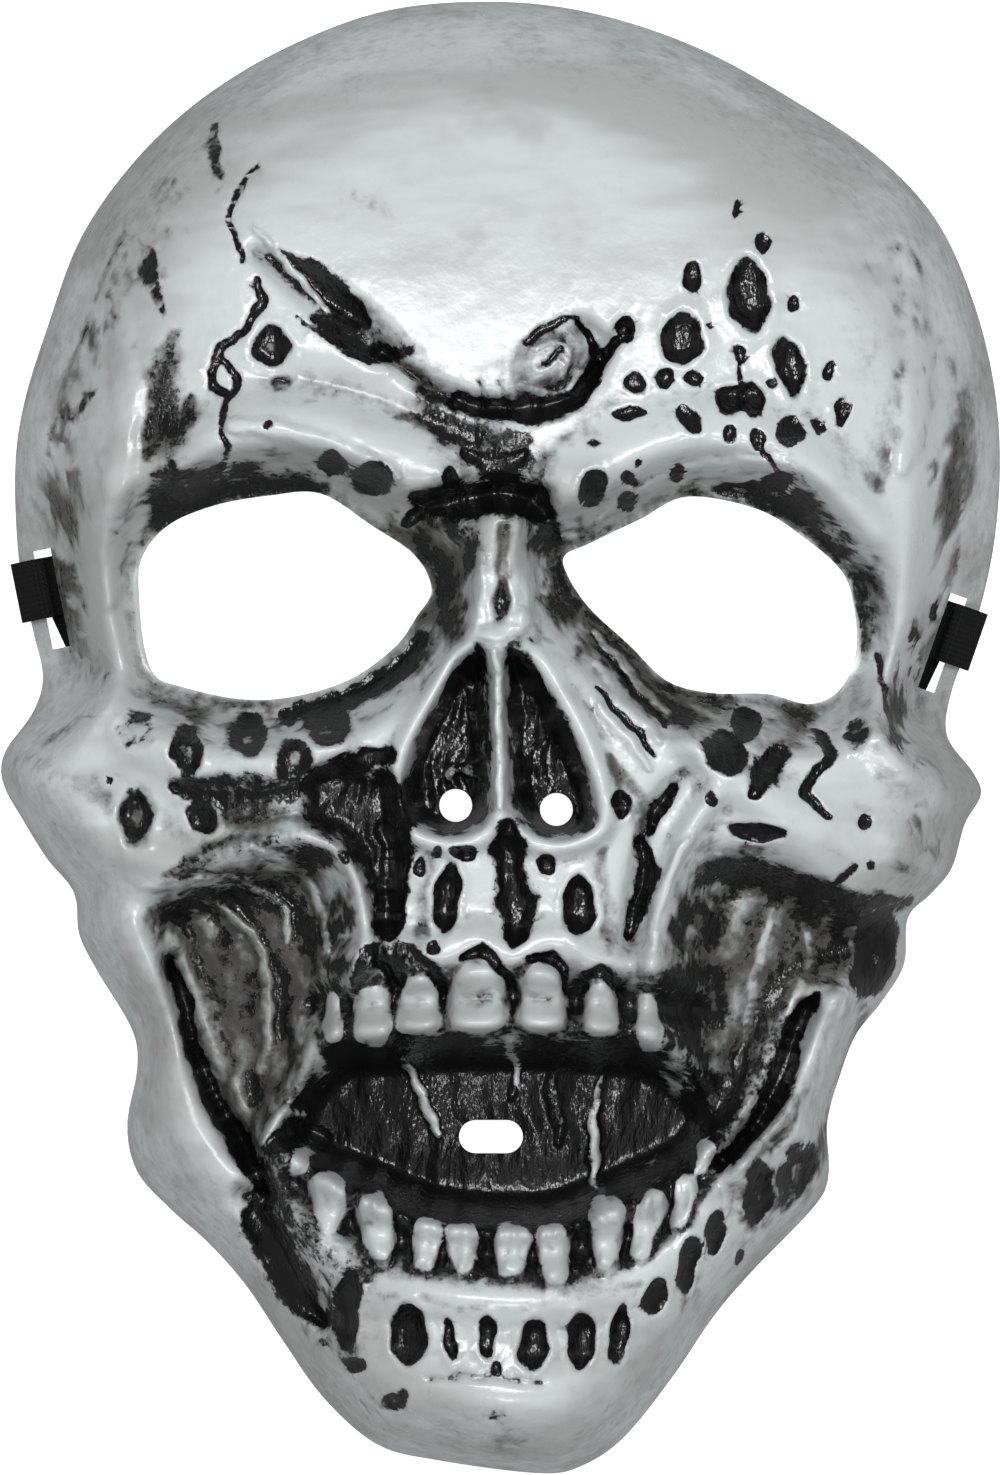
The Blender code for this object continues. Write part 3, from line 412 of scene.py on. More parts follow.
# %% Cracks, creases and welts: rise, paint, half widths, then across and down
LINES = {
    "frown outline": (-2.2, 1.0, (2, 7, 12, 14, 13, 8), [
        (574, 322), (592, 348), (594, 376), (572, 402), (538, 414), (486, 412), (456, 402),
    ]),
    "frown left arm": (-0.7, 0.2, (4, 8, 8), [(392, 378), (420, 392), (452, 404), (480, 412)]),
    "frown wrinkle 1": (-0.8, 0.3, (2, 4, 3), [(478, 384), (486, 398), (482, 414)]),
    "frown wrinkle 2": (-0.8, 0.35, (2, 4, 3), [(500, 382), (506, 398), (512, 412)]),
    "frown wrinkle 3": (0.9, -0.1, (3, 4, 3), [(530, 352), (556, 346), (572, 360), (560, 378)]),
    "frown wrinkle 4": (-0.7, 0.5, (2, 4, 3), [(534, 372), (552, 362), (562, 352)]),
    "frown fringe": (-1.0, 0.55, (5, 7, 4), [(524, 345), (548, 328), (576, 320)]),
    "frown right branch": (-2.4, 1.0, (5, 7, 6, 4), [(596, 372), (604, 356), (614, 344), (630, 334)]),
    "frown lid": (1.8, 0.0, (5, 7, 5), [(520, 390), (556, 398), (580, 372)]),
    "gash groove": (-2.0, 1.0, (8, 18, 22, 12), [(276, 258), (304, 276), (334, 298), (360, 322)]),
    "gash foot": (-0.8, 0.7, (6, 13, 12, 5), [(318, 320), (344, 342), (376, 358), (408, 354)]),
    "gash fringe": (-0.4, 0.6, (3, 6, 3), [(300, 320), (340, 346), (372, 368)]),
    "gash scratch": (1.6, -0.95, (3, 6, 6, 3), [(253, 232), (276, 256), (302, 286), (328, 312)]),
    "temple crack": (-1.0, 0.7, (3, 5, 4, 4), [(256, 170), (238, 204), (231, 222), (240, 248), (246, 266)]),
    "temple crack middle": (-1.4, 0.95, (5, 7, 6, 6, 7, 5), [
        (260, 284), (264, 302), (252, 320), (246, 334), (227, 346), (218, 362), (212, 374),
    ]),
    "temple crack loop": (-1.2, 0.95, (5, 6, 5), [
        (214, 376), (220, 392), (233, 398), (238, 380), (226, 366),
    ]),
    "temple crack end": (-1.2, 0.85, (4, 5, 5, 3), [(230, 404), (223, 432), (230, 448), (220, 478)]),
    "left fine crack": (-0.5, 0.35, (3, 4, 3), [(128, 236), (106, 274), (96, 306), (80, 348)]),
    "left temple ridge": (2.0, -0.2, (16, 22, 16), [(118, 300), (128, 400), (118, 500), (112, 600)]),
    "right temple ridge": (2.0, -0.2, (14, 20, 14), [(908, 240), (918, 380), (900, 470)]),
    "left brow bone": (2.6, -0.8, (10, 16, 14, 10), [(232, 425), (290, 436), (340, 452), (400, 480)]),
    "right brow bone": (2.4, -0.7, (10, 14, 14, 10), [(600, 520), (650, 490), (720, 470), (790, 468)]),
    "glabella crease": (-2.4, 1.0, (8, 17, 19, 10), [(418, 504), (456, 504), (510, 500), (546, 514)]),
    "glabella crease right": (-1.6, 0.9, (10, 9, 4), [(534, 500), (550, 520), (556, 540)]),
    "glabella upper": (-1.6, 0.95, (6, 14, 17, 7), [(464, 456), (486, 464), (504, 468), (524, 456)]),
    "pit crack": (-0.9, 0.9, (3, 3), [(738, 362), (738, 388)]),
    "pit crack right": (-0.9, 0.85, (3, 4, 3), [(760, 448), (765, 462), (775, 474)]),
    "left nose bone": (2.0, -0.9, (8, 11, 10), [(481, 560), (478, 594), (474, 622)]),
    "right nose bone": (1.6, -0.7, (8, 10, 9), [(528, 556), (530, 590), (524, 622)]),
    "nose tip": (2.0, -0.9, (8, 12, 8), [(468, 632), (496, 636), (520, 630)]),
    "septum": (2.4, -0.9, (6, 9, 10, 8), [(494, 652), (500, 700), (500, 760), (502, 806)]),
    "left nostril fold": (2.0, -0.25, (6, 7, 6), [(470, 680), (474, 720), (482, 752)]),
    "right nostril fold": (1.6, -0.2, (6, 7, 6), [(530, 700), (534, 730), (528, 770)]),
    "left nose foot": (1.5, -0.3, (6, 8, 5), [(446, 776), (468, 770), (484, 778)]),
    "central fossa": (-4.5, 1.0, (10, 22, 14, 26, 12), [
        (506, 826), (509, 848), (511, 872), (515, 902), (516, 936),
    ]),
    "left eye strip": (-1.6, 0.85, (9, 13, 11, 9), [(300, 712), (340, 702), (392, 676), (424, 640)]),
    "left of nose band": (-2.0, 0.85, (12, 16, 12), [(318, 780), (350, 764), (388, 756)]),
    "left of nose groove": (-2.6, 1.0, (16, 20, 18, 12), [(388, 790), (394, 830), (398, 870), (388, 930)]),
    "left cheek patch": (-2.0, 0.6, (12, 22, 24, 16), [(180, 786), (220, 790), (262, 790), (312, 784)]),
    "left cheek welt": (1.6, -0.35, (6, 8, 7, 5), [(255, 845), (303, 874), (322, 912), (328, 950)]),
    "left cheek welt lower": (1.4, -0.3, (6, 8, 7, 5), [(143, 887), (223, 880), (281, 903), (288, 941)]),
    "left cheek fold": (1.4, -0.15, (6, 9, 9, 6), [(206, 900), (252, 930), (270, 1000), (262, 1070)]),
    "left cheek fold inner": (1.2, -0.1, (6, 8, 6), [(320, 990), (308, 1060), (288, 1110)]),
    "right cheek diagonal": (-2.0, 1.0, (10, 15, 8), [(778, 752), (764, 774), (750, 792)]),
    "right cheek hook": (-1.4, 0.85, (7, 9, 9, 8, 6), [
        (818, 736), (828, 756), (810, 775), (806, 794), (824, 814),
    ]),
    "right cheek line": (-0.8, 0.8, (4, 5, 3), [(850, 866), (840, 876), (834, 882)]),
    "right side line": (-1.0, 0.6, (4, 5, 4, 3), [(876, 654), (880, 675), (884, 706), (898, 752)]),
    "muscle 1": (1.6, -0.25, (5, 8, 5), [(596, 632), (632, 676), (664, 712)]),
    "muscle 2": (1.6, -0.25, (5, 8, 5), [(594, 664), (628, 706), (660, 742)]),
    "muscle 3": (1.4, -0.25, (5, 8, 5), [(598, 704), (626, 738), (650, 768)]),
    "muscle gap 1": (-1.2, 0.75, (3, 5, 3), [(600, 650), (634, 694), (664, 728)]),
    "muscle gap 2": (-1.2, 0.75, (3, 5, 3), [(596, 688), (628, 722), (654, 754)]),
    "right of nose slot": (-3.0, 1.0, (7, 11, 12, 8), [(640, 842), (647, 868), (640, 898), (628, 930)]),
    "right of nose slot top": (-2.0, 0.95, (6, 9, 6), [(672, 788), (656, 810), (652, 830)]),
    "right fossa welt": (1.8, -0.9, (6, 10, 8), [(690, 836), (664, 880), (652, 940)]),
    "left jaw groove": (-3.6, 1.0, (6, 9, 11, 11, 8), [
        (169, 960), (185, 1000), (193, 1042), (208, 1086), (229, 1122), (252, 1162), (264, 1188),
    ]),
    "left jaw hollow": (-2.6, 0.95, (14, 22, 22, 10), [(253, 1212), (276, 1250), (296, 1290), (322, 1318)]),
    "arch of the second tooth": (-1.4, 1.0, (5, 9, 9, 7, 5), [
        (358, 984), (364, 952), (378, 950), (390, 968), (396, 990),
    ]),
    "arch of the third tooth": (-1.4, 1.0, (5, 8, 8, 7, 5), [
        (401, 980), (404, 948), (418, 954), (436, 972), (445, 996),
    ]),
    "right jaw groove": (-3.6, 1.0, (7, 13, 13, 10, 7), [
        (812, 996), (792, 1030), (780, 1076), (764, 1110), (740, 1142), (720, 1158),
    ]),
    "right jaw welt": (2.4, -0.95, (8, 13, 13, 9), [
        (846, 1008), (832, 1056), (814, 1108), (794, 1140), (752, 1176),
    ]),
    "pouch edge": (1.8, -0.5, (5, 7, 5), [(262, 1138), (280, 1116), (306, 1110)]),
    "pouch": (-2.2, 0.95, (10, 14, 10), [(276, 1140), (300, 1128), (326, 1140)]),
    "tongue ridge left": (2.2, -0.55, (5, 8, 8, 4), [(404, 1058), (420, 1090), (432, 1120), (440, 1134)]),
    "tongue ridge right": (2.2, -0.45, (5, 8, 8, 4), [(598, 1100), (594, 1130), (592, 1160), (596, 1184)]),
    "palate ridge": (1.8, -0.1, (5, 7, 5), [(512, 1040), (516, 1070), (510, 1098)]),
    "palate ridge right": (1.8, -0.12, (6, 10, 6), [(560, 1050), (552, 1090), (560, 1140)]),
    "gum arc left": (-2.0, 1.0, (5, 8, 6, 4), [(462, 958), (482, 948), (500, 962), (513, 988)]),
    "gum arc right": (-2.0, 1.0, (5, 8, 6, 4), [(530, 960), (548, 955), (560, 966), (566, 988)]),
    "gum arc far left": (-2.0, 1.0, (5, 7, 5), [(376, 962), (392, 972), (396, 992)]),
    "gum arc far right": (-1.8, 1.0, (5, 7, 4), [(586, 972), (602, 970), (614, 990)]),
    "chin crease": (-0.8, 0.25, (6, 8, 6), [(430, 1376), (470, 1372), (540, 1378)]),
}

# %% [markdown]
# ## The paint that has no relief
#
# The rest of the paint is brushed and wiped: smears, stains and dry strokes. `FIELDS` are whole areas that a
# wash has filled, and `STREAKS` are strokes. Entries named shade are painted shade: film on the side walls,
# and the dark under the brows, under the left cheekbone and beside the gash. One wipe is a painted highlight
# on the chin. The first number is black paint, the second the thin brown film that is left when paint is
# wiped off, and a negative number wipes paint away.

# %% Washed areas: black, film, width of the soft edge, then the edge as across and down
FIELDS = {
    "left nose cavity": (0.82, 1.0, 16, [
        (482, 640), (456, 654), (438, 692), (412, 740), (400, 786), (408, 816), (430, 834), (470, 832),
        (492, 812), (492, 700),
    ]),
    "right nose cavity": (0.85, 1.0, 16, [
        (508, 636), (536, 656), (558, 700), (580, 744), (596, 800), (592, 828), (562, 840), (526, 830),
        (512, 800), (508, 700),
    ]),
    "mouth": (0.95, 1.0, 20, [
        (340, 1040), (400, 1036), (500, 1036), (600, 1038), (664, 1046), (704, 1084), (712, 1130),
        (690, 1166), (640, 1196), (600, 1212), (550, 1226), (480, 1226), (420, 1218), (370, 1198),
        (318, 1172), (280, 1140), (288, 1100), (316, 1060),
    ]),
    "left cheek": (0.3, 0.94, 34, [
        (162, 905), (200, 872), (256, 850), (312, 846), (345, 880), (348, 930), (338, 985), (325, 1040),
        (305, 1096), (270, 1140), (242, 1150), (215, 1110), (196, 1050), (174, 990), (160, 945),
    ]),
    "right cheek": (0.34, 0.92, 30, [
        (684, 872), (726, 846), (786, 866), (846, 906), (884, 920), (892, 950), (860, 982), (812, 996),
        (786, 1042), (760, 1090), (728, 1130), (690, 1110), (676, 1060), (672, 1000), (670, 930),
    ]),
    "left of the upper jaw": (0.7, 1.0, 18, [
        (322, 790), (362, 770), (398, 780), (404, 840), (402, 890), (392, 940), (372, 925), (362, 885),
        (348, 860), (318, 836), (300, 812),
    ]),
    "left under the eye": (0.06, 0.36, 24, [
        (176, 706), (230, 712), (300, 716), (352, 706), (364, 740), (330, 790), (322, 838), (250, 836),
        (196, 822), (168, 780),
    ]),
    # The two brow shade fields paint shade under the brow ridges, together with the black wash that sits
    # there.
    "left brow shade": (0.72, 0.95, 18, [
        (156, 520), (158, 478), (196, 462), (252, 466), (312, 478), (318, 496), (262, 498), (206, 508),
        (170, 528),
    ]),
    "right brow shade": (0.62, 0.95, 18, [
        (700, 500), (748, 496), (790, 494), (838, 520), (862, 556), (868, 610), (858, 650), (850, 590),
        (832, 556), (800, 530), (750, 508),
    ]),
    "left of the bridge": (0.3, 0.95, 20, [
        (430, 500), (470, 514), (474, 560), (466, 604), (446, 650), (408, 676), (360, 694), (398, 650),
        (434, 594), (424, 556), (396, 532),
    ]),
    "right of the bridge": (0.3, 0.9, 20, [
        (534, 510), (560, 520), (566, 556), (590, 600), (628, 650), (670, 690), (716, 706), (690, 730),
        (640, 712), (590, 664), (556, 620), (544, 570),
    ]),
    "frown": (0.15, 0.6, 20, [
        (396, 386), (440, 396), (486, 384), (528, 380), (560, 398), (560, 414), (520, 424), (470, 424),
        (420, 410),
    ]),
    "membrane in the frown": (0.3, 0.72, 12, [
        (520, 352), (548, 334), (574, 334), (588, 356), (584, 382), (560, 400), (528, 404), (516, 384),
    ]),
    "glabella": (0.4, 0.7, 22, [
        (440, 446), (500, 452), (552, 450), (560, 500), (540, 534), (500, 524), (460, 524), (420, 506),
    ]),
    "right under the eye": (0.2, 0.5, 22, [
        (654, 688), (700, 700), (770, 704), (812, 712), (800, 760), (760, 790), (712, 776), (680, 740),
    ]),
    "right of the teeth": (0.45, 0.9, 22, [
        (664, 980), (704, 980), (720, 1040), (716, 1100), (690, 1110), (690, 1060), (660, 1036),
    ]),
    "left of the lower teeth": (0.6, 0.9, 20, [
        (232, 1150), (284, 1142), (306, 1180), (330, 1236), (376, 1270), (350, 1290), (300, 1250),
        (256, 1200),
    ]),
    "left lower jaw": (0.42, 0.85, 26, [
        (246, 1190), (290, 1210), (330, 1270), (360, 1340), (330, 1346), (286, 1296), (252, 1240),
    ]),
    "right lower jaw": (0.3, 0.8, 26, [
        (740, 1130), (800, 1080), (832, 1120), (826, 1180), (780, 1226), (742, 1240), (728, 1190),
    ]),
    "lower teeth bed": (0.55, 0.9, 14, [
        (330, 1160), (420, 1196), (520, 1216), (620, 1196), (700, 1130), (716, 1170), (690, 1226),
        (650, 1256), (600, 1274), (540, 1286), (460, 1280), (400, 1272), (350, 1240), (306, 1182),
    ]),
    "upper teeth bed": (0.45, 0.8, 14, [
        (318, 976), (370, 952), (440, 956), (520, 956), (600, 962), (690, 972), (694, 1050), (600, 1044),
        (500, 1042), (400, 1046), (326, 1052),
    ]),
}

# %% Grooved and wrinkled places: rise, spacing, lean in degrees, and how far in from the edge they start
RIPPLES = {
    "mouth": (0.65, 31, 5, 46),
    "left cheek": (0.9, 34, -16, 34),
    "right cheek": (0.8, 36, 18, 34),
    "left of the upper jaw": (0.8, 17, 6, 12),
    "left nose cavity": (0.9, 19, 14, 12),
    "right nose cavity": (0.9, 19, -10, 12),
    "lower teeth bed": (0.6, 15, 3, 16),
}

# %% Strokes of paint: black, film, half widths, then across and down
STREAKS = {
    "smudge above the crack": (0.62, 0.9, (8, 12, 8), [(214, 126), (216, 150), (222, 182)]),
    "left smudge": (0.6, 0.9, (9, 15, 12, 6), [(150, 250), (156, 285), (164, 320)]),
    "left hook": (0.45, 0.75, (7, 12, 9), [(98, 394), (80, 410), (64, 420), (58, 442)]),
    "left brush 1": (0.52, 0.85, (12, 30, 26, 10), [(176, 336), (166, 376), (160, 420), (150, 460)]),
    "left brush 2": (0.4, 0.7, (10, 24, 12), [(196, 400), (180, 440), (150, 500)]),
    "left brush 3": (0.0, 0.42, (20, 44, 24), [(170, 190), (120, 260), (90, 350)]),
    # The three wall shade strokes are painted shade: film that darkens the side walls.
    "left wall shade": (0.0, 0.22, (30, 60, 40), [(60, 360), (44, 480), (56, 620)]),
    "left wall shade low": (0.0, 0.16, (20, 34, 20), [(110, 980), (150, 1100), (170, 1190)]),
    "right wall shade": (0.0, 0.3, (30, 56, 40), [(920, 240), (955, 380), (930, 560)]),
    "right brow film": (0.0, 0.42, (20, 36, 26), [(840, 300), (880, 380), (870, 480)]),
    "right temple streaks": (0.1, 0.5, (10, 20, 14), [(872, 560), (886, 640), (900, 740)]),
    "right cheekbone film": (0.1, 0.5, (16, 30, 18), [(860, 700), (900, 790), (930, 850)]),
    "left cheekbone film": (0.0, 0.4, (12, 22, 12), [(30, 760), (110, 800), (150, 850)]),
    "forehead film": (0.0, 0.2, (20, 50, 40, 20), [(250, 140), (420, 110), (560, 120), (700, 170)]),
    "forehead film low": (0.0, 0.28, (14, 30, 14), [(330, 180), (380, 220), (400, 262)]),
    "forehead streak": (0.0, 0.3, (10, 18, 10), [(700, 420), (640, 440), (560, 440)]),
    "above the frown": (0.1, 0.45, (8, 22, 20, 8), [(380, 360), (440, 380), (500, 370), (540, 330)]),
    "below the frown": (0.35, 0.6, (8, 20, 16), [(400, 420), (456, 432), (520, 440)]),
    # gash shade and cheekbone shade left are painted shade beside the gash and under the left cheekbone.
    "gash shade": (0.25, 0.6, (10, 26, 22), [(352, 300), (384, 330), (420, 366)]),
    "cheekbone shade left": (0.5, 0.9, (12, 24, 20, 10), [(168, 880), (220, 850), (280, 842), (330, 862)]),
    "cheek top left": (0.6, 1.0, (14, 26, 24, 12), [(176, 912), (230, 892), (280, 900), (320, 940)]),
    "cheek low left": (-0.4, -0.25, (14, 30, 26, 14), [(230, 1010), (262, 1050), (290, 1060), (310, 1010)]),
    "cheek top right": (0.6, 1.0, (14, 26, 24, 14), [(700, 880), (740, 866), (800, 890), (860, 920)]),
    "cheek low right": (-0.3, -0.2, (14, 26, 14), [(706, 1000), (716, 1050), (720, 1100)]),
    "maxilla left film": (0.2, 0.6, (10, 18, 12), [(430, 840), (426, 900), (420, 950)]),
    "maxilla right film": (0.15, 0.55, (8, 18, 12), [(600, 850), (606, 900), (610, 950)]),
    "right of nose film": (0.3, 0.8, (10, 22, 14), [(604, 760), (634, 800), (640, 850)]),
    "chin film": (0.0, 0.2, (20, 40, 20), [(360, 1400), (440, 1440), (560, 1440)]),
    "lower gum film": (0.15, 0.5, (8, 12, 8), [(380, 1290), (500, 1302), (640, 1280)]),
    "right jaw film": (0.1, 0.4, (12, 24, 14), [(700, 1280), (660, 1350), (620, 1420)]),
    "left jaw film": (0.1, 0.4, (12, 22, 14), [(300, 1300), (330, 1370), (380, 1420)]),
    "inside the right jaw groove": (0.5, 0.95, (16, 24, 24, 14), [
        (776, 996), (764, 1050), (736, 1104), (706, 1140),
    ]),
    "right jaw side film": (0.1, 0.75, (14, 24, 20, 12), [
        (862, 1006), (850, 1060), (834, 1120), (800, 1170),
    ]),
    "under the right cheekbone": (0.7, 0.98, (12, 18, 16, 10), [
        (806, 878), (846, 898), (884, 904), (908, 898),
    ]),
    "right cheek wipe": (-0.5, -0.6, (4, 8, 8, 4), [(770, 920), (756, 958), (752, 1000), (740, 1040)]),
    "right cheek wipe 2": (-0.4, -0.5, (4, 7, 6, 3), [(802, 930), (812, 950), (800, 980), (788, 1004)]),
    "left membrane": (-0.45, -0.2, (14, 24, 22, 12), [(318, 1056), (332, 1096), (322, 1136), (300, 1160)]),
    "right membrane": (-0.45, -0.2, (14, 26, 24, 12), [(672, 1056), (668, 1100), (650, 1150), (640, 1184)]),
    "seam in the mouth": (-0.6, -0.45, (4, 6, 4), [(510, 1034), (514, 1062), (520, 1094)]),
    "right membrane edge": (-0.8, -0.6, (4, 7, 6, 4), [(600, 1076), (592, 1116), (596, 1150), (590, 1182)]),
    "seam of the nose": (0.1, 0.9, (12, 13, 12, 8), [(502, 522), (504, 550), (502, 590), (500, 612)]),
    "dark between brow and nose": (0.5, 0.8, (14, 20, 14), [(452, 528), (470, 540), (478, 566)]),
    "dark between brow and nose right": (0.45, 0.8, (14, 20, 12), [(556, 528), (544, 540), (532, 552)]),
    "frown speckle": (0.46, 0.8, (10, 26, 22, 8), [(420, 392), (450, 424), (484, 438), (530, 442)]),
    "frown speckle right": (0.1, 0.5, (8, 16, 10, 4), [(540, 424), (580, 416), (620, 398), (652, 388)]),
    "gash speckle": (0.3, 0.6, (8, 18, 14, 5), [(330, 318), (362, 330), (384, 346), (404, 350)]),
    "under the left eye": (0.2, 0.6, (12, 26, 30, 16), [(190, 780), (228, 806), (280, 800), (312, 770)]),
    "left lattice": (-0.6, -0.8, (5, 7, 6, 5), [(164, 712), (166, 742), (160, 778), (172, 808)]),
    "left lattice 2": (-0.6, -0.8, (4, 6, 5), [(218, 722), (220, 750), (214, 770)]),
    "left lattice 3": (-0.7, -0.8, (4, 6, 5), [(274, 740), (300, 738), (322, 752), (360, 752)]),
    "wiped septum": (-1.0, -0.8, (6, 9, 9, 7), [(494, 654), (499, 700), (500, 760), (502, 800)]),
    "wiped nose rim left": (-0.9, -0.8, (8, 11, 11, 10), [(470, 648), (440, 684), (412, 736), (394, 792)]),
    "wiped nose rim right": (-0.9, -0.8, (8, 11, 11, 10), [(530, 648), (560, 694), (586, 742), (602, 796)]),
    "wiped nose foot": (-0.9, -0.8, (9, 11, 9), [(400, 826), (450, 842), (500, 822), (550, 846), (600, 832)]),
    "wiped jaw": (-0.8, -0.7, (8, 14, 14, 10), [(150, 960), (160, 1050), (190, 1130), (240, 1200)]),
    # This wipe lightens the chin's paint: a painted highlight.
    "painted highlight on the chin": (-0.3, -0.6, (14, 24, 14), [(400, 1372), (470, 1386), (560, 1384)]),
}
print(len(PITS), "pits,", len(LINES), "lines,", len(FIELDS) + len(STREAKS), "areas of paint")

# %% [markdown]
# ## The height of the skin
#
# `main_rise` adds the tables of the main form up into the front of the face, `soft_rise` rounds that off, and
# `fine_rise` gives the small relief. `mask_rise` puts them together and lets the face fall away to the rim
# as a quarter of an oval, which is how a sheet drapes over a mould. At the temples the foot of that wall
# flares out into a skirt, because the strap slots need flat material there.
#
# `TOOTH_STAND` lowers the teeth, which look like spikes from the side at their full rise. Over `ROUND_OFF`
# the face levels out, so that nothing stands much past the bridge of the nose.


# %% Height functions
RIM = smooth_line(OUTLINE, 8, closed=True)
ROUND_OFF = 80
SOFTEN = 5
MOST_SHARE = 1.4
TOOTH_STAND = 0.65
TOOTH_CORNER = 2.8
TOOTH_FOOT = 1.12
TOOTH_SLOPE = 0.42
TOOTH_DOME = 0.16
GUM_TO_TIP = 0.18
MOUTH_MIDDLE = 1100
PIT_LIP = 0.22
LINE_FULLNESS = 1.3
SKIRT_RISE = 0.17
SKIRT_SHARE = 0.34


def rim_radius(bearing):
    """From the hub to the rim, in grid steps."""
    right, up = RIM[:, 0] - HUB_ACROSS, HUB_DOWN - RIM[:, 1]
    bearings = np.mod(np.arctan2(up, right), math.tau)
    order = np.argsort(bearings)
    return np.interp(np.mod(bearing, math.tau), bearings[order], np.hypot(right, up)[order], period=math.tau)


def wall_column(bearing, column):
    """One column of the wall's table, read at a bearing from the hub."""
    rows = np.array(WALL_TABLE, float)
    return np.interp(np.degrees(np.mod(bearing, math.tau)), rows[:, 0], rows[:, column], period=360)


def rim_lift(down):
    """How far the rim is off the table, in steps of rise: it arches over the elastic band."""
    rise = ease(1.6 * (1 - np.abs(down - ARCH_DOWN) / ARCH_HALF))
    return GRID_RISE * RIM_LIFT / MASK_DEEP * rise


def tooth_share(across, down, row):
    """1 on a tooth and 0 round it: a block with rounded corners that narrows a little towards its gum."""
    at_across, at_down, half_wide, half_tall, lean, _ = row
    right, below = turned(across - at_across, down - at_down, lean)
    taper = GUM_TO_TIP if at_down < MOUTH_MIDDLE else -1.5 * GUM_TO_TIP
    wide = half_wide * (1.04 + taper * np.clip(below / half_tall, -1, 1))
    corners = np.abs(right / wide) ** TOOTH_CORNER + np.abs(below / half_tall) ** TOOTH_CORNER
    reach = corners ** (1 / TOOTH_CORNER)
    return ease((TOOTH_FOOT - reach) / TOOTH_SLOPE) * (1 - TOOTH_DOME * np.minimum(reach, 1) ** 2)


def main_rise(across, down):
    """The front of the face on the mould: cross-sections, then hollows, folds, sockets and teeth."""
    middle = table_curve(SECTION_TABLE, 1, down)
    side = table_curve(SECTION_TABLE, 2, down)
    half_wide = table_curve(SECTION_TABLE, 3, down)
    fullness = table_curve(SECTION_TABLE, 4, down)
    share = np.minimum(np.abs(across - HUB_ACROSS) / half_wide, MOST_SHARE)
    rise = side + (middle - side) * (1 - share**fullness)
    for drop, slope, edge in HOLLOWS.values():
        away = distance_outside(across, down, edge)
        rise = rise - drop * ease(0.25 - 0.75 * away / slope)
    for height, half_widths, line in FOLDS.values():
        rise = rise + height * ease(nearness(across, down, line, half_widths))
    for edge in EYE_HOLES.values():
        away = distance_outside(across, down, edge)
        rise = rise - SOCKET_DROP * ease(1 - np.maximum(away, 0) / SOCKET_WIDE)
    for row in TEETH:
        rise = rise + TOOTH_STAND * row[5] * tooth_share(across, down, row)
    return rise


def soft_rise(across, down):
    """The mean over a few places close by: warm sheet rounds off whatever is sharper on the mould."""
    shifts = [(0, 0), (SOFTEN, 0), (-SOFTEN, 0), (0, SOFTEN), (0, -SOFTEN)]
    return sum(main_rise(across + right, down + below) for right, below in shifts) / len(shifts)


def wobble(across, down):
    """Moves places a little, so that no pit is a true oval and no crack an even line."""
    right = 2.3 * np.sin(down / 12.7 + 1.7) * np.cos(across / 16.1) + 1.2 * np.sin(down / 4.9 + across / 7.3)
    below = 2.1 * np.sin(across / 11.9 + 0.6) * np.cos(down / 15.3) + 1.1 * np.sin(across / 5.3 - down / 6.7)
    return across + right, down + below


def fine_rise(across, down):
    """Pits with a soft lip, cracks, welts and ripples."""
    across, down = wobble(across, down)
    rise = np.zeros(across.shape)
    for at_across, at_down, half_wide, half_tall, lean, depth, _ in PITS:
        share = oval(across, down, (at_across, at_down), (half_wide, half_tall), lean)
        rise -= depth * ease(1.45 - 1.1 * share)
        rise += PIT_LIP * abs(depth) * ease(1 - np.abs(share - 1.35) / 0.45) * (depth > 0)
    for height, _, half_widths, line in LINES.values():
        rise += height * ease(nearness(across, down, line, half_widths) * LINE_FULLNESS)
    for name, (height, spacing, lean, inset) in RIPPLES.items():
        inside = ease(-distance_outside(across, down, FIELDS[name][3]) / inset)
        over, along = turned(across, down, lean)
        wave = np.sin(math.tau * over / spacing + 1.7 * np.sin(along / spacing) + 0.8 * np.sin(along / 11))
        rise += height * inside * wave * (0.62 + 0.38 * np.sin(along / (0.8 * spacing) + over / 41))
    return rise


def from_rim_steps(across, down):
    """Steps in from the rim, towards the hub."""
    right, up = across - HUB_ACROSS, HUB_DOWN - down
    return np.maximum(rim_radius(np.arctan2(up, right)) - np.hypot(right, up), 0)


def mask_rise(across, down, detail=1.0):
    """The outer surface over the plane that the rim lies on, in steps of rise."""
    right, up = across - HUB_ACROSS, HUB_DOWN - down
    bearing = np.arctan2(up, right)
    share = np.clip(from_rim_steps(across, down) / wall_column(bearing, 1), 0, 1)
    flare = wall_column(bearing, 2)
    upright = np.sqrt(1 - (1 - share) ** 2)
    foot = SKIRT_RISE * np.minimum(share / 0.45, 1)
    skirted = foot + (1 - SKIRT_RISE) * ease((share - SKIRT_SHARE) / (1 - SKIRT_SHARE))
    climb = upright + (skirted - upright) * flare
    lift = rim_lift(down)
    rise = lift + (soft_rise(across, down) - lift) * climb
    over = np.maximum(rise - ROUND_OFF, 0)
    rise = rise - over + (GRID_RISE - ROUND_OFF) * (1 - np.exp(-over / (GRID_RISE - ROUND_OFF)))
    return rise + detail * fine_rise(across, down) * ease(share * 2.5)


# %% [markdown]
# ## Where paint is laid
#
# Each table lays paint over what is there: black in the first number and brown film in the second. A wide
# pit is black round its edge and paler on its floor, where the rag reached. Wiping comes last, so a wiped
# tooth stays clean in a black mouth.


# %% Paint function
STREAK_FULLNESS = 1.2
PAINT_PAST_LINE = 1.45
PAINT_PAST_PIT = 1.42
PIT_EDGE_SHARPNESS = 1.9
RUBBED_LEAST = 0.25
RUBBED_MOST = 0.9
SMALL_PIT = 8


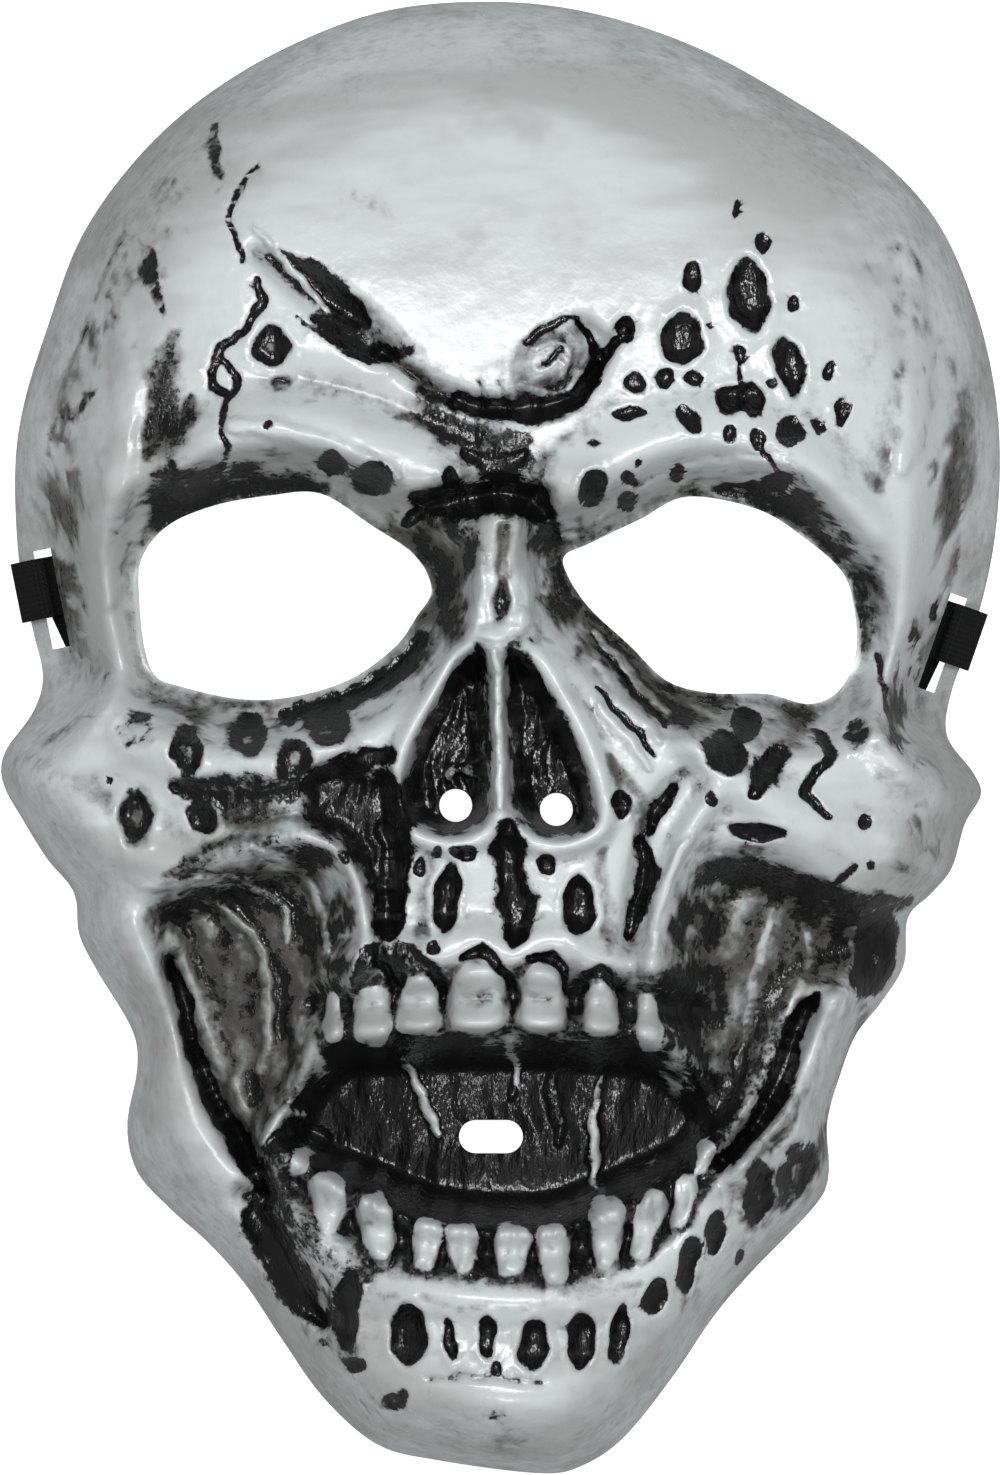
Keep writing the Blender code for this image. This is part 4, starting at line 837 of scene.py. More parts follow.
def paint(across, down):
    """Black paint and brown film from the tables, each from 0 to 1."""
    across, down = wobble(across, down)
    black = np.zeros(across.shape)
    film = np.zeros(across.shape)

    def lay(layer, amount, share):
        """Lays an amount of paint over a layer, or wipes a share of the layer away."""
        if amount < 0:
            return layer * (1 + amount * share)
        return 1 - (1 - layer) * (1 - amount * share)

    for field_black, field_film, soft, edge in FIELDS.values():
        share = ease(0.5 - 0.5 * distance_outside(across, down, edge) / soft)
        black, film = lay(black, field_black, share), lay(film, field_film, share)
    for streak_black, streak_film, half_widths, line in STREAKS.values():
        share = ease(nearness(across, down, line, half_widths) * STREAK_FULLNESS)
        black, film = lay(black, streak_black, share), lay(film, streak_film, share)
    for _, line_black, half_widths, line in LINES.values():
        wider = np.array(half_widths) * PAINT_PAST_LINE
        share = ease(nearness(across, down, line, wider) * LINE_FULLNESS)
        black, film = lay(black, line_black, share), lay(film, 0.9 * line_black, share)
    for at_across, at_down, half_wide, half_tall, lean, _, pit_black in PITS:
        share = oval(across, down, (at_across, at_down), (half_wide, half_tall), lean)
        filled = ease((PAINT_PAST_PIT - share) * PIT_EDGE_SHARPNESS)
        rubbed = min(RUBBED_LEAST + 2.5 * (1 - pit_black), RUBBED_MOST)
        rubbed = rubbed * ease((half_wide - SMALL_PIT) / SMALL_PIT) * ease(1.1 - 1.5 * share)
        black = lay(black, pit_black, filled * (1 - rubbed))
        film = lay(film, 0.95 * pit_black, filled * (1 - 0.5 * rubbed))
    for row in TEETH:
        share = ease(1.9 * tooth_share(across, down, row) - 0.35)
        black, film = lay(black, -1.0, share), lay(film, -0.95, share)
    return black, film


# %% [markdown]
# ## From a square grid to the face
#
# `create_grid` makes a square of cells. `grid_to_face` bends it: the square's rings become rings round the
# hub, and its edge becomes the rim. The rings crowd together where the wall is steep, and the cells are
# smaller in the middle of the face, where the teeth and pits are.

# %% Where each cell goes: a crowded field is its middle, its half width and how much denser it is
CLOSE_ACROSS = (0.0, 0.5, 0.8)
CLOSE_DOWN = (-0.2, 0.55, 1.0)
WALL_RINGS = 1.3


def close_up(share, field):
    """Moves evenly spread shares from -1 to 1 so that they crowd into a field."""
    middle, half, gain = field
    even = np.linspace(-1, 1, 401)
    density = 1 + gain * ease(1.5 * (1 - np.abs(even - middle) / half / 1.6))
    filled = np.concatenate([[0], np.cumsum((density[1:] + density[:-1]) / 2)])
    return np.interp((share + 1) / 2, filled / filled[-1], even)


def grid_to_face(u, v, inset=0):
    """Maps a square of side 2 on to the face: its centre to the hub and its edge to the rim, or inside it."""
    u = close_up(u, CLOSE_ACROSS)
    v = close_up(v, CLOSE_DOWN)
    wide = np.abs(u) >= np.abs(v)
    ring = np.where(wide, u, v)
    other = np.where(wide, v, u)
    eighth = math.pi / 4 * other / np.where(ring == 0, 1, ring)
    bearing = np.where(wide, eighth, math.pi / 2 - eighth) + np.where(ring < 0, math.pi, 0)
    ring = np.abs(ring)
    radius = rim_radius(bearing) - inset
    run = wall_column(bearing, 1)
    wall_share = WALL_RINGS * run / (radius - run + WALL_RINGS * run)
    inner = ring / (1 - wall_share) * (radius - run)
    climb = np.clip((1 - ring) / wall_share, 0, 1)
    outer = radius - run * (1 - np.cos(math.pi / 2 * climb))
    reach = np.where(ring < 1 - wall_share, inner, outer)
    return HUB_ACROSS + reach * np.cos(bearing), HUB_DOWN - reach * np.sin(bearing)


# %% [markdown]
# ## The moulded sheet
#
# The skin could be sculpted, or a flat sheet could be pushed out by a displacement texture. Here each corner
# of the grid gets its height from the tables, which keeps every feature in its charted place. Long edges over
# which the skin bends or the paint changes are halved first, so the mesh is fine only where that shows. The
# inner skin is a coarser grid that stays a sheet's thickness inside. `close_rim` fills the rim between the
# two, whose corners differ in number.

# %% Two skins
OUTER_CELLS = 150
INNER_CELLS = 96
REFINE_TO = (3.2, 1.6)
MOST_BEND = 0.10
MOST_CHANGE = 0.20


def chart_places(bm):
    return chart_at(*np.array([vert.co[:2] for vert in bm.verts]).T)


def refine(bm, shortest):
    """Halves each long edge over which the skin bends or the paint changes."""
    bm.verts.index_update()
    across, down = chart_places(bm)
    edges = [edge for edge in bm.edges if not edge.is_boundary]
    first, second = np.array([[vert.index for vert in edge.verts] for edge in edges]).T
    long = np.hypot(across[first] - across[second], down[first] - down[second]) > 2 * shortest
    rise = mask_rise(across, down)
    middle_rise = mask_rise((across[first] + across[second]) / 2, (down[first] + down[second]) / 2)
    bend = np.abs(middle_rise - (rise[first] + rise[second]) / 2)
    inks = np.array(paint(across, down))
    change = np.abs(inks[:, first] - inks[:, second]).max(0)
    wanted = long & ((bend > MOST_BEND) | (change > MOST_CHANGE))
    bmesh.ops.subdivide_edges(bm, edges=[edge for edge, split in zip(edges, wanted) if split], cuts=1)
    bmesh.ops.triangulate(bm, faces=bm.faces)


def add_skin(bm, cells, inset, heights_at, shortest=()):
    """Adds one skin as a bent grid, refined in rounds, and returns the corners along its rim."""
    flat = bmesh.new()
    bmesh.ops.create_grid(flat, x_segments=cells, y_segments=cells, size=1)
    spots = np.array([vert.co[:2] for vert in flat.verts])
    across, down = grid_to_face(spots[:, 0], spots[:, 1], inset)
    for vert, a, d in zip(flat.verts, across, down):
        vert.co = (place_x(a), place_y(d), 0)
    bmesh.ops.triangulate(flat, faces=flat.faces)
    for limit in shortest:
        refine(flat, limit)
    for vert, z in zip(flat.verts, place_z(heights_at(*chart_places(flat)))):
        vert.co.z = z
    inner = [edge for edge in flat.edges if not edge.is_boundary]
    bmesh.ops.beautify_fill(flat, faces=flat.faces, edges=inner, method="ANGLE")
    mesh = bpy.data.meshes.new("skin")
    flat.to_mesh(mesh)
    flat.free()
    count = len(bm.verts)
    bm.from_mesh(mesh)
    bpy.data.meshes.remove(mesh)
    bm.verts.ensure_lookup_table()
    return [vert for vert in bm.verts[count:] if vert.is_boundary]


def close_rim(bm, outer, inner):
    """Fills the rim between the skins with triangles, going round both at once."""
    rings = []
    for ring in (outer, inner):
        turns = sorted((math.atan2(vert.co.y, vert.co.x), number) for number, vert in enumerate(ring))
        closed = [(turn, ring[number]) for turn, number in turns]
        rings.append(closed + [(closed[0][0] + math.tau, closed[0][1])])
    at = [0, 0]
    while at != [len(outer), len(inner)]:
        ahead = [ring[step + 1][0] if step + 1 < len(ring) else 9.0 for ring, step in zip(rings, at)]
        side = ahead.index(min(ahead))
        bm.faces.new([rings[0][at[0]][1], rings[1][at[1]][1], rings[side][at[side] + 1][1]])
        at[side] += 1


def inner_heights(across, down):
    """The inner skin keeps a sheet's thickness from every place of the outer one near it."""
    from_rim = from_rim_steps(across, down)
    thickness = SHEET * (1 + 0.9 * ease((from_rim - 30) / 60))
    reach = thickness / MASK_WIDE * GRID_WIDE
    thick_rise = GRID_RISE * thickness / MASK_DEEP
    fade = ease(from_rim / 30)
    lowest = mask_rise(across, down) - thick_rise * fade
    for turn in np.arange(8) * math.pi / 4:
        for share in (0.6, 1.0):
            spot = (across + share * reach * math.cos(turn), down + share * reach * math.sin(turn))
            drop = thick_rise * math.sqrt(1 - share * share)
            lowest = np.minimum(lowest, mask_rise(*spot) - drop * fade)
    return np.where(from_rim < 1 + SHEET_STEPS, rim_lift(down), lowest)


def add_object(name, data):
    made = bpy.data.objects.new(name, data)
    bpy.context.scene.collection.objects.link(made)
    return made


def object_from(bm, name):
    """Turns a finished bmesh into an object of the scene."""
    mesh = bpy.data.meshes.new(name)
    bm.to_mesh(mesh)
    bm.free()
    return add_object(name, mesh)


bm = bmesh.new()
outer_rim = add_skin(bm, OUTER_CELLS, 0, mask_rise, REFINE_TO)
inner_rim = add_skin(bm, INNER_CELLS, SHEET_STEPS, inner_heights)
close_rim(bm, outer_rim, inner_rim)
bmesh.ops.recalc_face_normals(bm, faces=bm.faces)
print("skins joined:", len(bm.faces), "faces,", sum(not edge.is_manifold for edge in bm.edges), "open edges")
sheet = object_from(bm, "sheet")

# %% [markdown]
# ## Punching the holes
#
# On the real mask the holes are cut with a die after moulding, so their edges are square and plain. Here each
# hole is an upright prism, and one Boolean takes the prisms out of the sheet: the eyes, the air holes, the
# mouth slot and the strap slots.


# %% Cut the eyes, air holes and slots
def add_prism(bm, outline, low, high):
    """An upright prism on an outline, between two heights."""
    face = bm.faces.new([bm.verts.new((x, y, low)) for x, y in outline])
    raised = bmesh.ops.extrude_face_region(bm, geom=[face])
    tops = [part for part in raised["geom"] if isinstance(part, bmesh.types.BMVert)]
    bmesh.ops.translate(bm, verts=tops, vec=(0, 0, high - low))


def round_ended(long, tall, corners=14):
    """The outline of a slot with round ends, or of a round hole, about its middle."""
    radius = tall / 2
    straight = (long - tall) / 2
    outline = []
    for start, middle in ((-0.5, straight), (0.5, -straight)):
        for step in range(corners + 1):
            angle = math.pi * (start + step / corners)
            outline.append((middle + radius * math.cos(angle), radius * math.sin(angle)))
    if straight == 0:
        outline = outline[:corners] + outline[corners + 1 : -1]
    return outline


TEMPLE_TOP = 450
TEMPLE_FOOT = 760
BAR_REACH = 30
HOLES_FROM = 0.2 * MASK_DEEP
HOLES_TO = 1.2 * MASK_DEEP


def rim_at(side, down):
    """The rim's place on one side at a height on the face, and the directions in and along the bar there."""
    half = RIM[(RIM[:, 0] - HUB_ACROSS) * side > 0]
    near = half[(half[:, 1] > TEMPLE_TOP) & (half[:, 1] < TEMPLE_FOOT)]
    near = near[np.argsort(near[:, 1])]
    downs = [down - BAR_REACH, down, down + BAR_REACH]
    acrosses = np.interp(downs, near[:, 1], near[:, 0])
    upper, middle, lower = [Vector((place_x(a), place_y(d))) for a, d in zip(acrosses, downs)]
    bar = (upper - lower).normalized()
    inward = Vector((bar.y, -bar.x)) * (-side)
    return middle, inward, bar


def strap_slot(name):
    """The four corners of the slot that leaves a bar at the rim for the band."""
    rim, inward, bar = rim_at(*STRAPS[name])
    near = rim + inward * STRAP_BAR - bar * STRAP_SLOT_LONG * 0.62
    far = near + inward * STRAP_SLOT_WIDE
    along = bar * STRAP_SLOT_LONG
    return [tuple(corner) for corner in (near, far, far + along, near + along)]


bm = bmesh.new()
for edge in EYE_HOLES.values():
    ring = smooth_line(edge, 8, closed=True)
    add_prism(bm, [(place_x(a), place_y(d)) for a, d in ring], HOLES_FROM, HOLES_TO)
holes = [(where, NOSTRIL_HOLE, NOSTRIL_HOLE) for where in NOSTRILS.values()]
holes.append((MOUTH_SLOT, MOUTH_SLOT_LONG, MOUTH_SLOT_TALL))
for (across, down), long, tall in holes:
    ring = [(place_x(across) + x, place_y(down) + y) for x, y in round_ended(long, tall)]
    add_prism(bm, ring, HOLES_FROM, HOLES_TO)
for name in STRAPS:
    add_prism(bm, strap_slot(name), 0, 0.5 * MASK_DEEP)
bmesh.ops.recalc_face_normals(bm, faces=bm.faces)
punch = object_from(bm, "punch")
cut = sheet.modifiers.new("holes", "BOOLEAN")
cut.operation = "DIFFERENCE"
cut.solver = "EXACT"
cut.object = punch
cut_mesh = bpy.data.meshes.new_from_object(sheet.evaluated_get(bpy.context.evaluated_depsgraph_get()))
cut_mesh.name = "mask_skin"
skin = add_object("mask_skin", cut_mesh)
for helper in (sheet, punch):
    bpy.data.objects.remove(helper, do_unlink=True)
skin.data.shade_smooth()
skin.data.set_sharp_from_angle(angle=math.radians(70))
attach(skin, "root")
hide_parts("mask_shell")
skin.data.calc_loop_triangles()
print("mask_skin:", len(skin.data.loop_triangles), "triangles")

# %% [markdown]
# ## Where the paint stays
#
# The paint follows the relief, so it is worked out from the same tables and from the mesh itself. A place
# that lies lower than the ground round it keeps paint, as it does when a washed mask is wiped with a rag, and
# a place that stands up is rubbed clean. The result is kept at every corner of the mesh in two attributes,
# `wash` for black and `film` for the thin brown veil round it. `film` also holds painted shade that darkens
# the side walls towards the rim. The shader only makes their edges ragged. The inside is left bare.


# %% Work out the paint: each pair of numbers is a gain for the black and for the film
WIDE_ROUNDS = 30
FINE_ROUNDS = 6
IN_WIDE_HOLLOWS = (0.12, 0.4)
IN_FINE_HOLLOWS = (0.3, 0.35)
OFF_FINE_RIDGES = (0.12, 0.35)
# The next number is painted shade: film that darkens the side walls towards the rim.
SIDE_PAINTED_SHADE = 0.32


def corner_places(mesh):
    places = np.empty(len(mesh.vertices) * 3)
    mesh.vertices.foreach_get("co", places)
    return places.reshape(-1, 3)


def hollowness(mesh, rounds):
    """How far each corner lies below the mean of the corners round it, in millimetres."""
    heights = corner_places(mesh)[:, 2]
    pairs = np.empty(len(mesh.edges) * 2, int)
    mesh.edges.foreach_get("vertices", pairs)
    first, second = pairs.reshape(-1, 2).T
    count = np.bincount(first, minlength=len(heights)) + np.bincount(second, minlength=len(heights))
    level = heights.copy()
    for _ in range(rounds):
        forward = np.bincount(first, level[second], len(heights))
        backward = np.bincount(second, level[first], len(heights))
        level = (forward + backward) / np.maximum(count, 1)
    return (level - heights) * 1000


points = corner_places(skin.data)
across, down = chart_at(points[:, 0], points[:, 1])
outside = points[:, 2] > place_z(mask_rise(across, down)) - 0.35 * SHEET
deep = np.clip(hollowness(skin.data, WIDE_ROUNDS) * 0.6, -1, 1)
fine = np.clip(hollowness(skin.data, FINE_ROUNDS) * 1.8, -1, 1)
on_face = ease(from_rim_steps(across, down) / 60)
sides = 1 - ease(from_rim_steps(across, down) / 110)
layers = []
gains = zip(IN_WIDE_HOLLOWS, IN_FINE_HOLLOWS, OFF_FINE_RIDGES)
for laid, (wide_gain, fine_gain, ridge_loss) in zip(paint(across, down), gains):
    kept = fine_gain * np.maximum(fine, 0) + wide_gain * np.maximum(deep, 0)
    layers.append(laid + on_face * kept - ridge_loss * np.maximum(-fine, 0))
black, film = layers
# Painted shade: the side walls get film that grows towards the rim.
film = np.where(outside, np.maximum(film, SIDE_PAINTED_SHADE * sides), 0)
black = np.where(outside, black, 0)
for name, values in (("wash", black), ("film", film)):
    layer = skin.data.attributes.new(name, "FLOAT", "POINT")
    layer.data.foreach_set("value", np.clip(values, 0, 1).astype(np.float32))
print("painted share of the front:", round(float((black[outside] > 0.5).mean()), 3))

# %% [markdown]
# ## The elastic band
#
# Woven elastic is a flat strip with fine ribs along it, from the rubber threads inside. It goes out through a
# slot, round the bar at the rim and back in, and is sewn to itself. The rest lies slack on the table inside
# the mask. A grid is laid along its path, a Solidify modifier gives it its thickness, and the weave is a
# material.


# %% The band: its bends are rounded over these lengths, at the sewn end and at the foot of the bar
SEWN_BEND = 0.0020
SEWN_BEND_MIDDLE = 0.0005
FOOT_BEND = 0.0014
FOOT_BEND_UP = 0.0012
FOOT_BEND_MIDDLE = 0.0004
RUN_STEPS = 40
TWIST_RATE = 8
BAND_RIBS = 8


def bar_loop(rim, inward, bar):
    """The band's path round a bar, as distance in from the rim and height, from the sewn end to the run."""
    half = BAND_THICK / 2
    clear = BAND_GAP + half
    tops = []
    for distance in (0.0, STRAP_BAR):
        spots = [rim + inward * distance + bar * BAND_WIDE * share for share in (-0.5, -0.25, 0, 0.25, 0.5)]
        across, down = chart_at(*np.array(spots, float).T)
        tops.append(max(place_z(mask_rise(across, down, detail=0))))
    foot, top = tops
    steep = math.atan2(top - foot, STRAP_BAR)
    second = BAND_THICK + BAND_GAP + half
    inner = STRAP_BAR + clear
    path = [(inner + BAND_SEAM, second), (inner + SEWN_BEND, second)]
    path += [(inner + SEWN_BEND_MIDDLE, second + SEWN_BEND_MIDDLE), (inner, second + SEWN_BEND)]
    for turn in np.linspace(0, math.pi / 2 + steep, 5):
        path.append((STRAP_BAR + clear * math.cos(turn), top + clear * math.sin(turn)))
    for turn in np.linspace(math.pi / 2 + steep, math.pi, 3):
        path.append((clear * math.cos(turn), foot + clear * math.sin(turn)))
    path.append((-clear, half + FOOT_BEND_UP))
    path.append((-clear + FOOT_BEND_MIDDLE, half + FOOT_BEND_MIDDLE))
    path.append((-clear + FOOT_BEND, half))
    return path + [(inner, half)]


def band_stations():
    """The band's centre line from one sewn end to the other: place and the level direction of its width."""
    ends = {}
    for name, (side, down) in STRAPS.items():
        rim, inward, bar = rim_at(side, down)
        loop = []
        for distance, height in bar_loop(rim, inward, bar):
            spot = rim + inward * distance
            loop.append((Vector((spot.x, spot.y, height)), Vector((bar.x, bar.y, 0))))
        ends[name] = loop
    stations = list(ends["left"])
    start, start_width = ends["left"][-1]
    finish, finish_width = ends["right"][-1]
    for step in range(1, RUN_STEPS):
        share = step / RUN_STEPS
        spot = start.lerp(finish, share)
        spot.y += BAND_BOW * 4 * share * (1 - share)
        slope = (finish.y - start.y + BAND_BOW * 4 * (1 - 2 * share)) / (finish.x - start.x)
        level = Vector((-slope, 1, 0)).normalized()
        near_start = max(0.0, 1 - share * TWIST_RATE)
        near_finish = max(0.0, 1 - (1 - share) * TWIST_RATE)
        width = level +(start_width - level) * near_start + (finish_width - level) * near_finish
        stations.append((spot, width.normalized()))
    return stations + ends["right"][::-1]


stations = band_stations()
lengths = [0.0]
for (before, _), (after, _) in zip(stations[:-1], stations[1:]):
    lengths.append(lengths[-1] + (after - before).length)


def station_of(vert):
    """Which station a corner of the flat grid belongs to: the grid runs from -1 to 1."""
    return round((vert.co.x + 1) / 2 * (len(stations) - 1))


bm = bmesh.new()
bmesh.ops.create_grid(bm, x_segments=len(stations) - 1, y_segments=BAND_RIBS, size=1)
unwrap = bm.loops.layers.uv.new("weave")
for face in bm.faces:
    for loop in face.loops:
        loop[unwrap].uv = (lengths[station_of(loop.vert)] * 1000, loop.vert.co.y * BAND_WIDE / 2 * 1000)
for vert in bm.verts:
    spot, width = stations[station_of(vert)]
    vert.co = spot + width * (vert.co.y * BAND_WIDE / 2)
bmesh.ops.recalc_face_normals(bm, faces=bm.faces)
band = object_from(bm, "woven_band")
thick = band.modifiers.new("thickness", "SOLIDIFY")
thick.thickness = BAND_THICK - 0.0001
thick.offset = 0
band.data.shade_smooth()
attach(band, "root")
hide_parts("elastic_band")
print("band along its middle, mm:", round(lengths[-1] * 1000, 1))

# %% [markdown]
# ## Finishes
#
# The plastic is a pale cool grey, a little glossy, with a faint moulded texture. Two node groups are shared:
# `ragged_edge` turns a soft mask into the broken edge that a rag or a dry brush leaves, and `moulded_texture`
# gives the small unevenness that every part of a moulded sheet has.

# %% Node helpers
def set_inputs(node, values):
    """Fills a node's sockets by name or number: an output is linked, and anything else is a fixed value."""
    for label, value in values.items():
        if isinstance(value, bpy.types.NodeSocket):
            node.id_data.links.new(value, node.inputs[label])
        else:
            node.inputs[label].default_value = value


def new_group(name, numbers, output):
    """A group that reads a place and some numbers, each with its usual value, and puts out one number."""
    group = bpy.data.node_groups.new(name, "ShaderNodeTree")
    group.interface.new_socket("Place", in_out="INPUT", socket_type="NodeSocketVector")
    for label, value in numbers.items():
        socket = group.interface.new_socket(label, in_out="INPUT", socket_type="NodeSocketFloat")
        socket.default_value = value
    group.interface.new_socket(output, in_out="OUTPUT", socket_type="NodeSocketFloat")
    return group, group.nodes.new("NodeGroupInput").outputs, group.nodes.new("NodeGroupOutput")


def math_node(tree, operation, *values):
    node = tree.nodes.new("ShaderNodeMath")
    node.operation = operation
    set_inputs(node, dict(enumerate(values)))
    return node.outputs[0]


def noise_node(tree, place, scale, detail, roughness):
    node = tree.nodes.new("ShaderNodeTexNoise")
    set_inputs(node, {"Vector": place, "Scale": scale, "Detail": detail, "Roughness": roughness})
    return node.outputs["Fac"]


def stretched(tree, place, stretch, turn=0):
    """A place turned by some degrees and stretched, so that a noise there runs one way."""
    mapping = tree.nodes.new("ShaderNodeMapping")
    set_inputs(mapping, {"Vector": place, "Rotation": (0, 0, math.radians(turn)), "Scale": stretch})
    return mapping.outputs[0]


def range_node(tree, value, low, high, to_low=0.0, to_high=1.0):
    node = tree.nodes.new("ShaderNodeMapRange")
    node.interpolation_type = "SMOOTHSTEP"
    set_inputs(node, {"Value": value, "From Min": low, "From Max": high, "To Min": to_low, "To Max": to_high})
    return node.outputs["Result"]


def mix_colours(tree, factor, first, second):
    """Blends two colours. A Mix node's colour sockets are its seventh and eighth."""
    node = tree.nodes.new("ShaderNodeMix")
    node.data_type = "RGBA"
    set_inputs(node, {"Factor": factor, 6: first, 7: second})
    return node.outputs[2]


def group_node(tree, group, **values):
    node = tree.nodes.new("ShaderNodeGroup")
    node.node_tree = group
    set_inputs(node, {label.replace("_", " "): value for label, value in values.items()})
    return node.outputs[0]


def attribute(tree, name):
    node = tree.nodes.new("ShaderNodeAttribute")
    node.attribute_name = name
    return node.outputs["Fac"]


def add_bump(tree, shader, height, strength, distance):
    bump = tree.nodes.new("ShaderNodeBump")
    set_inputs(bump, {"Strength": strength, "Distance": distance, "Height": height})
    set_inputs(shader, {"Normal": bump.outputs["Normal"]})


def new_material(name):
    material = bpy.data.materials.new(name)
    material.use_nodes = True
    return material, material.node_tree, material.node_tree.nodes["Principled BSDF"]


# %% Shared node groups
ragged, given, result = new_group(
    "ragged_edge",
    {"Mask": 0.0, "Strokes": 0.5, "Scale": 300.0, "Break Up": 0.5, "Start": 0.3, "Full": 0.6},
    "Cover",
)
grit = noise_node(ragged, given["Place"], given["Scale"], 6, 0.7)
centred = math_node(ragged, "SUBTRACT", math_node(ragged, "ADD", grit, given["Strokes"]), 1.0)
pushed = math_node(ragged, "MULTIPLY", centred, given["Break Up"])
broken = math_node(ragged, "ADD", given["Mask"], pushed)
set_inputs(result, {"Cover": range_node(ragged, broken, given["Start"], given["Full"])})

texture, given, result = new_group("moulded_texture", {"Scale": 500.0}, "Height")
set_inputs(result, {"Height": noise_node(texture, given["Place"], given["Scale"], 4, 0.5)})
print("shared node groups:", ragged.name, "and", texture.name)

# %% [markdown]
# ## Painted plastic
#
# Three layers make the finish: bare plastic, a brown-grey film and black paint. Each layer's mask is the
# attribute from the mesh, broken up by noise. Noise stretched one way gives the strokes of a dry brush. The
# film fades slowly, as thin paint does, and the black stops almost at once. Black paint lies thick and
# glossy, so it has crinkles of its own in the bump.

# %% The mask's colours
PLASTIC = (0.425, 0.45, 0.452, 1.0)
PLASTIC_WARM = (0.26, 0.268, 0.262, 1.0)
FILM = (0.034, 0.032, 0.029, 1.0)
BLACK_PAINT = (0.0040, 0.0040, 0.0042, 1.0)
FAINTNESS = 0.7
FILM_MOST = 0.95

bone, tree, shader = new_material("painted_bone_plastic")
place = tree.nodes.new("ShaderNodeTexCoord").outputs["Object"]
brush_down = noise_node(tree, stretched(tree, place, (1, 0.22, 0.4)), 150, 5, 0.65)
brush_slant = noise_node(tree, stretched(tree, place, (1, 0.25, 0.4), 48), 130, 5, 0.65)
swoosh = noise_node(tree, stretched(tree, place, (0.22, 1, 0.5), -32), 34, 4, 0.6)
cloud = noise_node(tree, place, 26, 4, 0.6)
strokes = math_node(tree, "MULTIPLY", math_node(tree, "ADD", brush_down, brush_slant), 0.5)
# The film cover holds the brown film and also the painted shade on the side walls and under the brows.
film_and_shade_cover = group_node(
    tree, ragged, Mask=attribute(tree, "film"), Strokes=strokes, Place=place,
    Scale=420.0, Break_Up=0.95, Start=0.08, Full=0.98,
)
black_cover = group_node(
    tree, ragged, Mask=attribute(tree, "wash"), Strokes=strokes, Place=place,
    Scale=640.0, Break_Up=1.25, Start=0.42, Full=0.62,
)
faint = math_node(tree, "MULTIPLY", range_node(tree, swoosh, 0.42, 0.60), FAINTNESS)
dusky = math_node(tree, "MAXIMUM", faint, range_node(tree, cloud, 0.5, 0.8))
bare = mix_colours(tree, dusky, PLASTIC, PLASTIC_WARM)
veiled_and_shaded = mix_colours(tree, math_node(tree, "MULTIPLY", film_and_shade_cover, FILM_MOST), bare, FILM)
set_inputs(shader, {"Base Color": mix_colours(tree, black_cover, veiled_and_shaded, BLACK_PAINT)})

# %% The mask's gloss and bump
GLOSS_SMOOTH = 0.24
GLOSS_DULL = 0.34
FILM_DULLS = 0.08
BLACK_SHINES = -0.12
WAVES_SCALE, WAVES_HIGH = 85.0, 1.4
PORES_SCALE, PORES_HIGH = 420.0, 0.3
CRINKLES_SCALE, CRINKLES_HIGH = 460, 2.4

duller = math_node(tree, "MULTIPLY", film_and_shade_cover, FILM_DULLS)
shinier = math_node(tree, "MULTIPLY", black_cover, BLACK_SHINES)
gloss = range_node(tree, cloud, 0.3, 0.7, GLOSS_SMOOTH, GLOSS_DULL)
gloss = math_node(tree, "ADD", gloss, math_node(tree, "ADD", duller, shinier))
set_inputs(shader, {"Roughness": gloss, "Specular IOR Level": 0.45})
waves = math_node(tree, "MULTIPLY", group_node(tree, texture, Place=place, Scale=WAVES_SCALE), WAVES_HIGH)
pores = math_node(tree, "MULTIPLY", group_node(tree, texture, Place=place, Scale=PORES_SCALE), PORES_HIGH)
wrinkled = noise_node(tree, stretched(tree, place, (1, 0.4, 0.7)), CRINKLES_SCALE, 3, 0.6)
crinkles = math_node(tree, "MULTIPLY", math_node(tree, "MULTIPLY", wrinkled, black_cover), CRINKLES_HIGH)
height = math_node(tree, "ADD", math_node(tree, "ADD", waves, pores), crinkles)
add_bump(tree, shader, height, strength=0.6, distance=0.0006)
skin.data.materials.clear()
skin.data.materials.append(bone)
print("mask's material:", len(tree.nodes), "nodes")

# %% [markdown]
# ## Woven elastic
#
# The weave reads the band's own map, in millimetres along and across, so its ribs follow the band round the
# bars.

# %% The band's material: pitches are in millimetres
RIB_PITCH = 0.95
PICK_PITCH = 0.6
SHADE_BETWEEN_THREADS = (0.0010, 0.0010, 0.0012, 1)
ON_THREADS = (0.0045, 0.0048, 0.0050, 1)

elastic, tree, shader = new_material("black_woven_elastic")
unwrapped = tree.nodes.new("ShaderNodeUVMap")
unwrapped.uv_map = "weave"
parts = tree.nodes.new("ShaderNodeSeparateXYZ")
set_inputs(parts, {0: unwrapped.outputs[0]})
ribs = math_node(tree, "SINE", math_node(tree, "MULTIPLY", parts.outputs[1], math.tau / RIB_PITCH))
picks = math_node(tree, "SINE", math_node(tree, "MULTIPLY", parts.outputs[0], math.tau / PICK_PITCH))
woven = math_node(tree, "MULTIPLY", math_node(tree, "MULTIPLY", ribs, picks), 0.6)
height = math_node(tree, "ADD", woven, math_node(tree, "MULTIPLY", ribs, 0.4))
# The colour follows the weave's height, darker where it lies low: painted shade between the threads.
threads = mix_colours(tree, range_node(tree, height, -1.0, 1.0), SHADE_BETWEEN_THREADS, ON_THREADS)
set_inputs(shader, {"Base Color": threads, "Roughness": 0.8, "Specular IOR Level": 0.2})
add_bump(tree, shader, height, strength=0.8, distance=0.0003)
band.data.materials.clear()
band.data.materials.append(elastic)
print("band's material:", len(tree.nodes), "nodes")

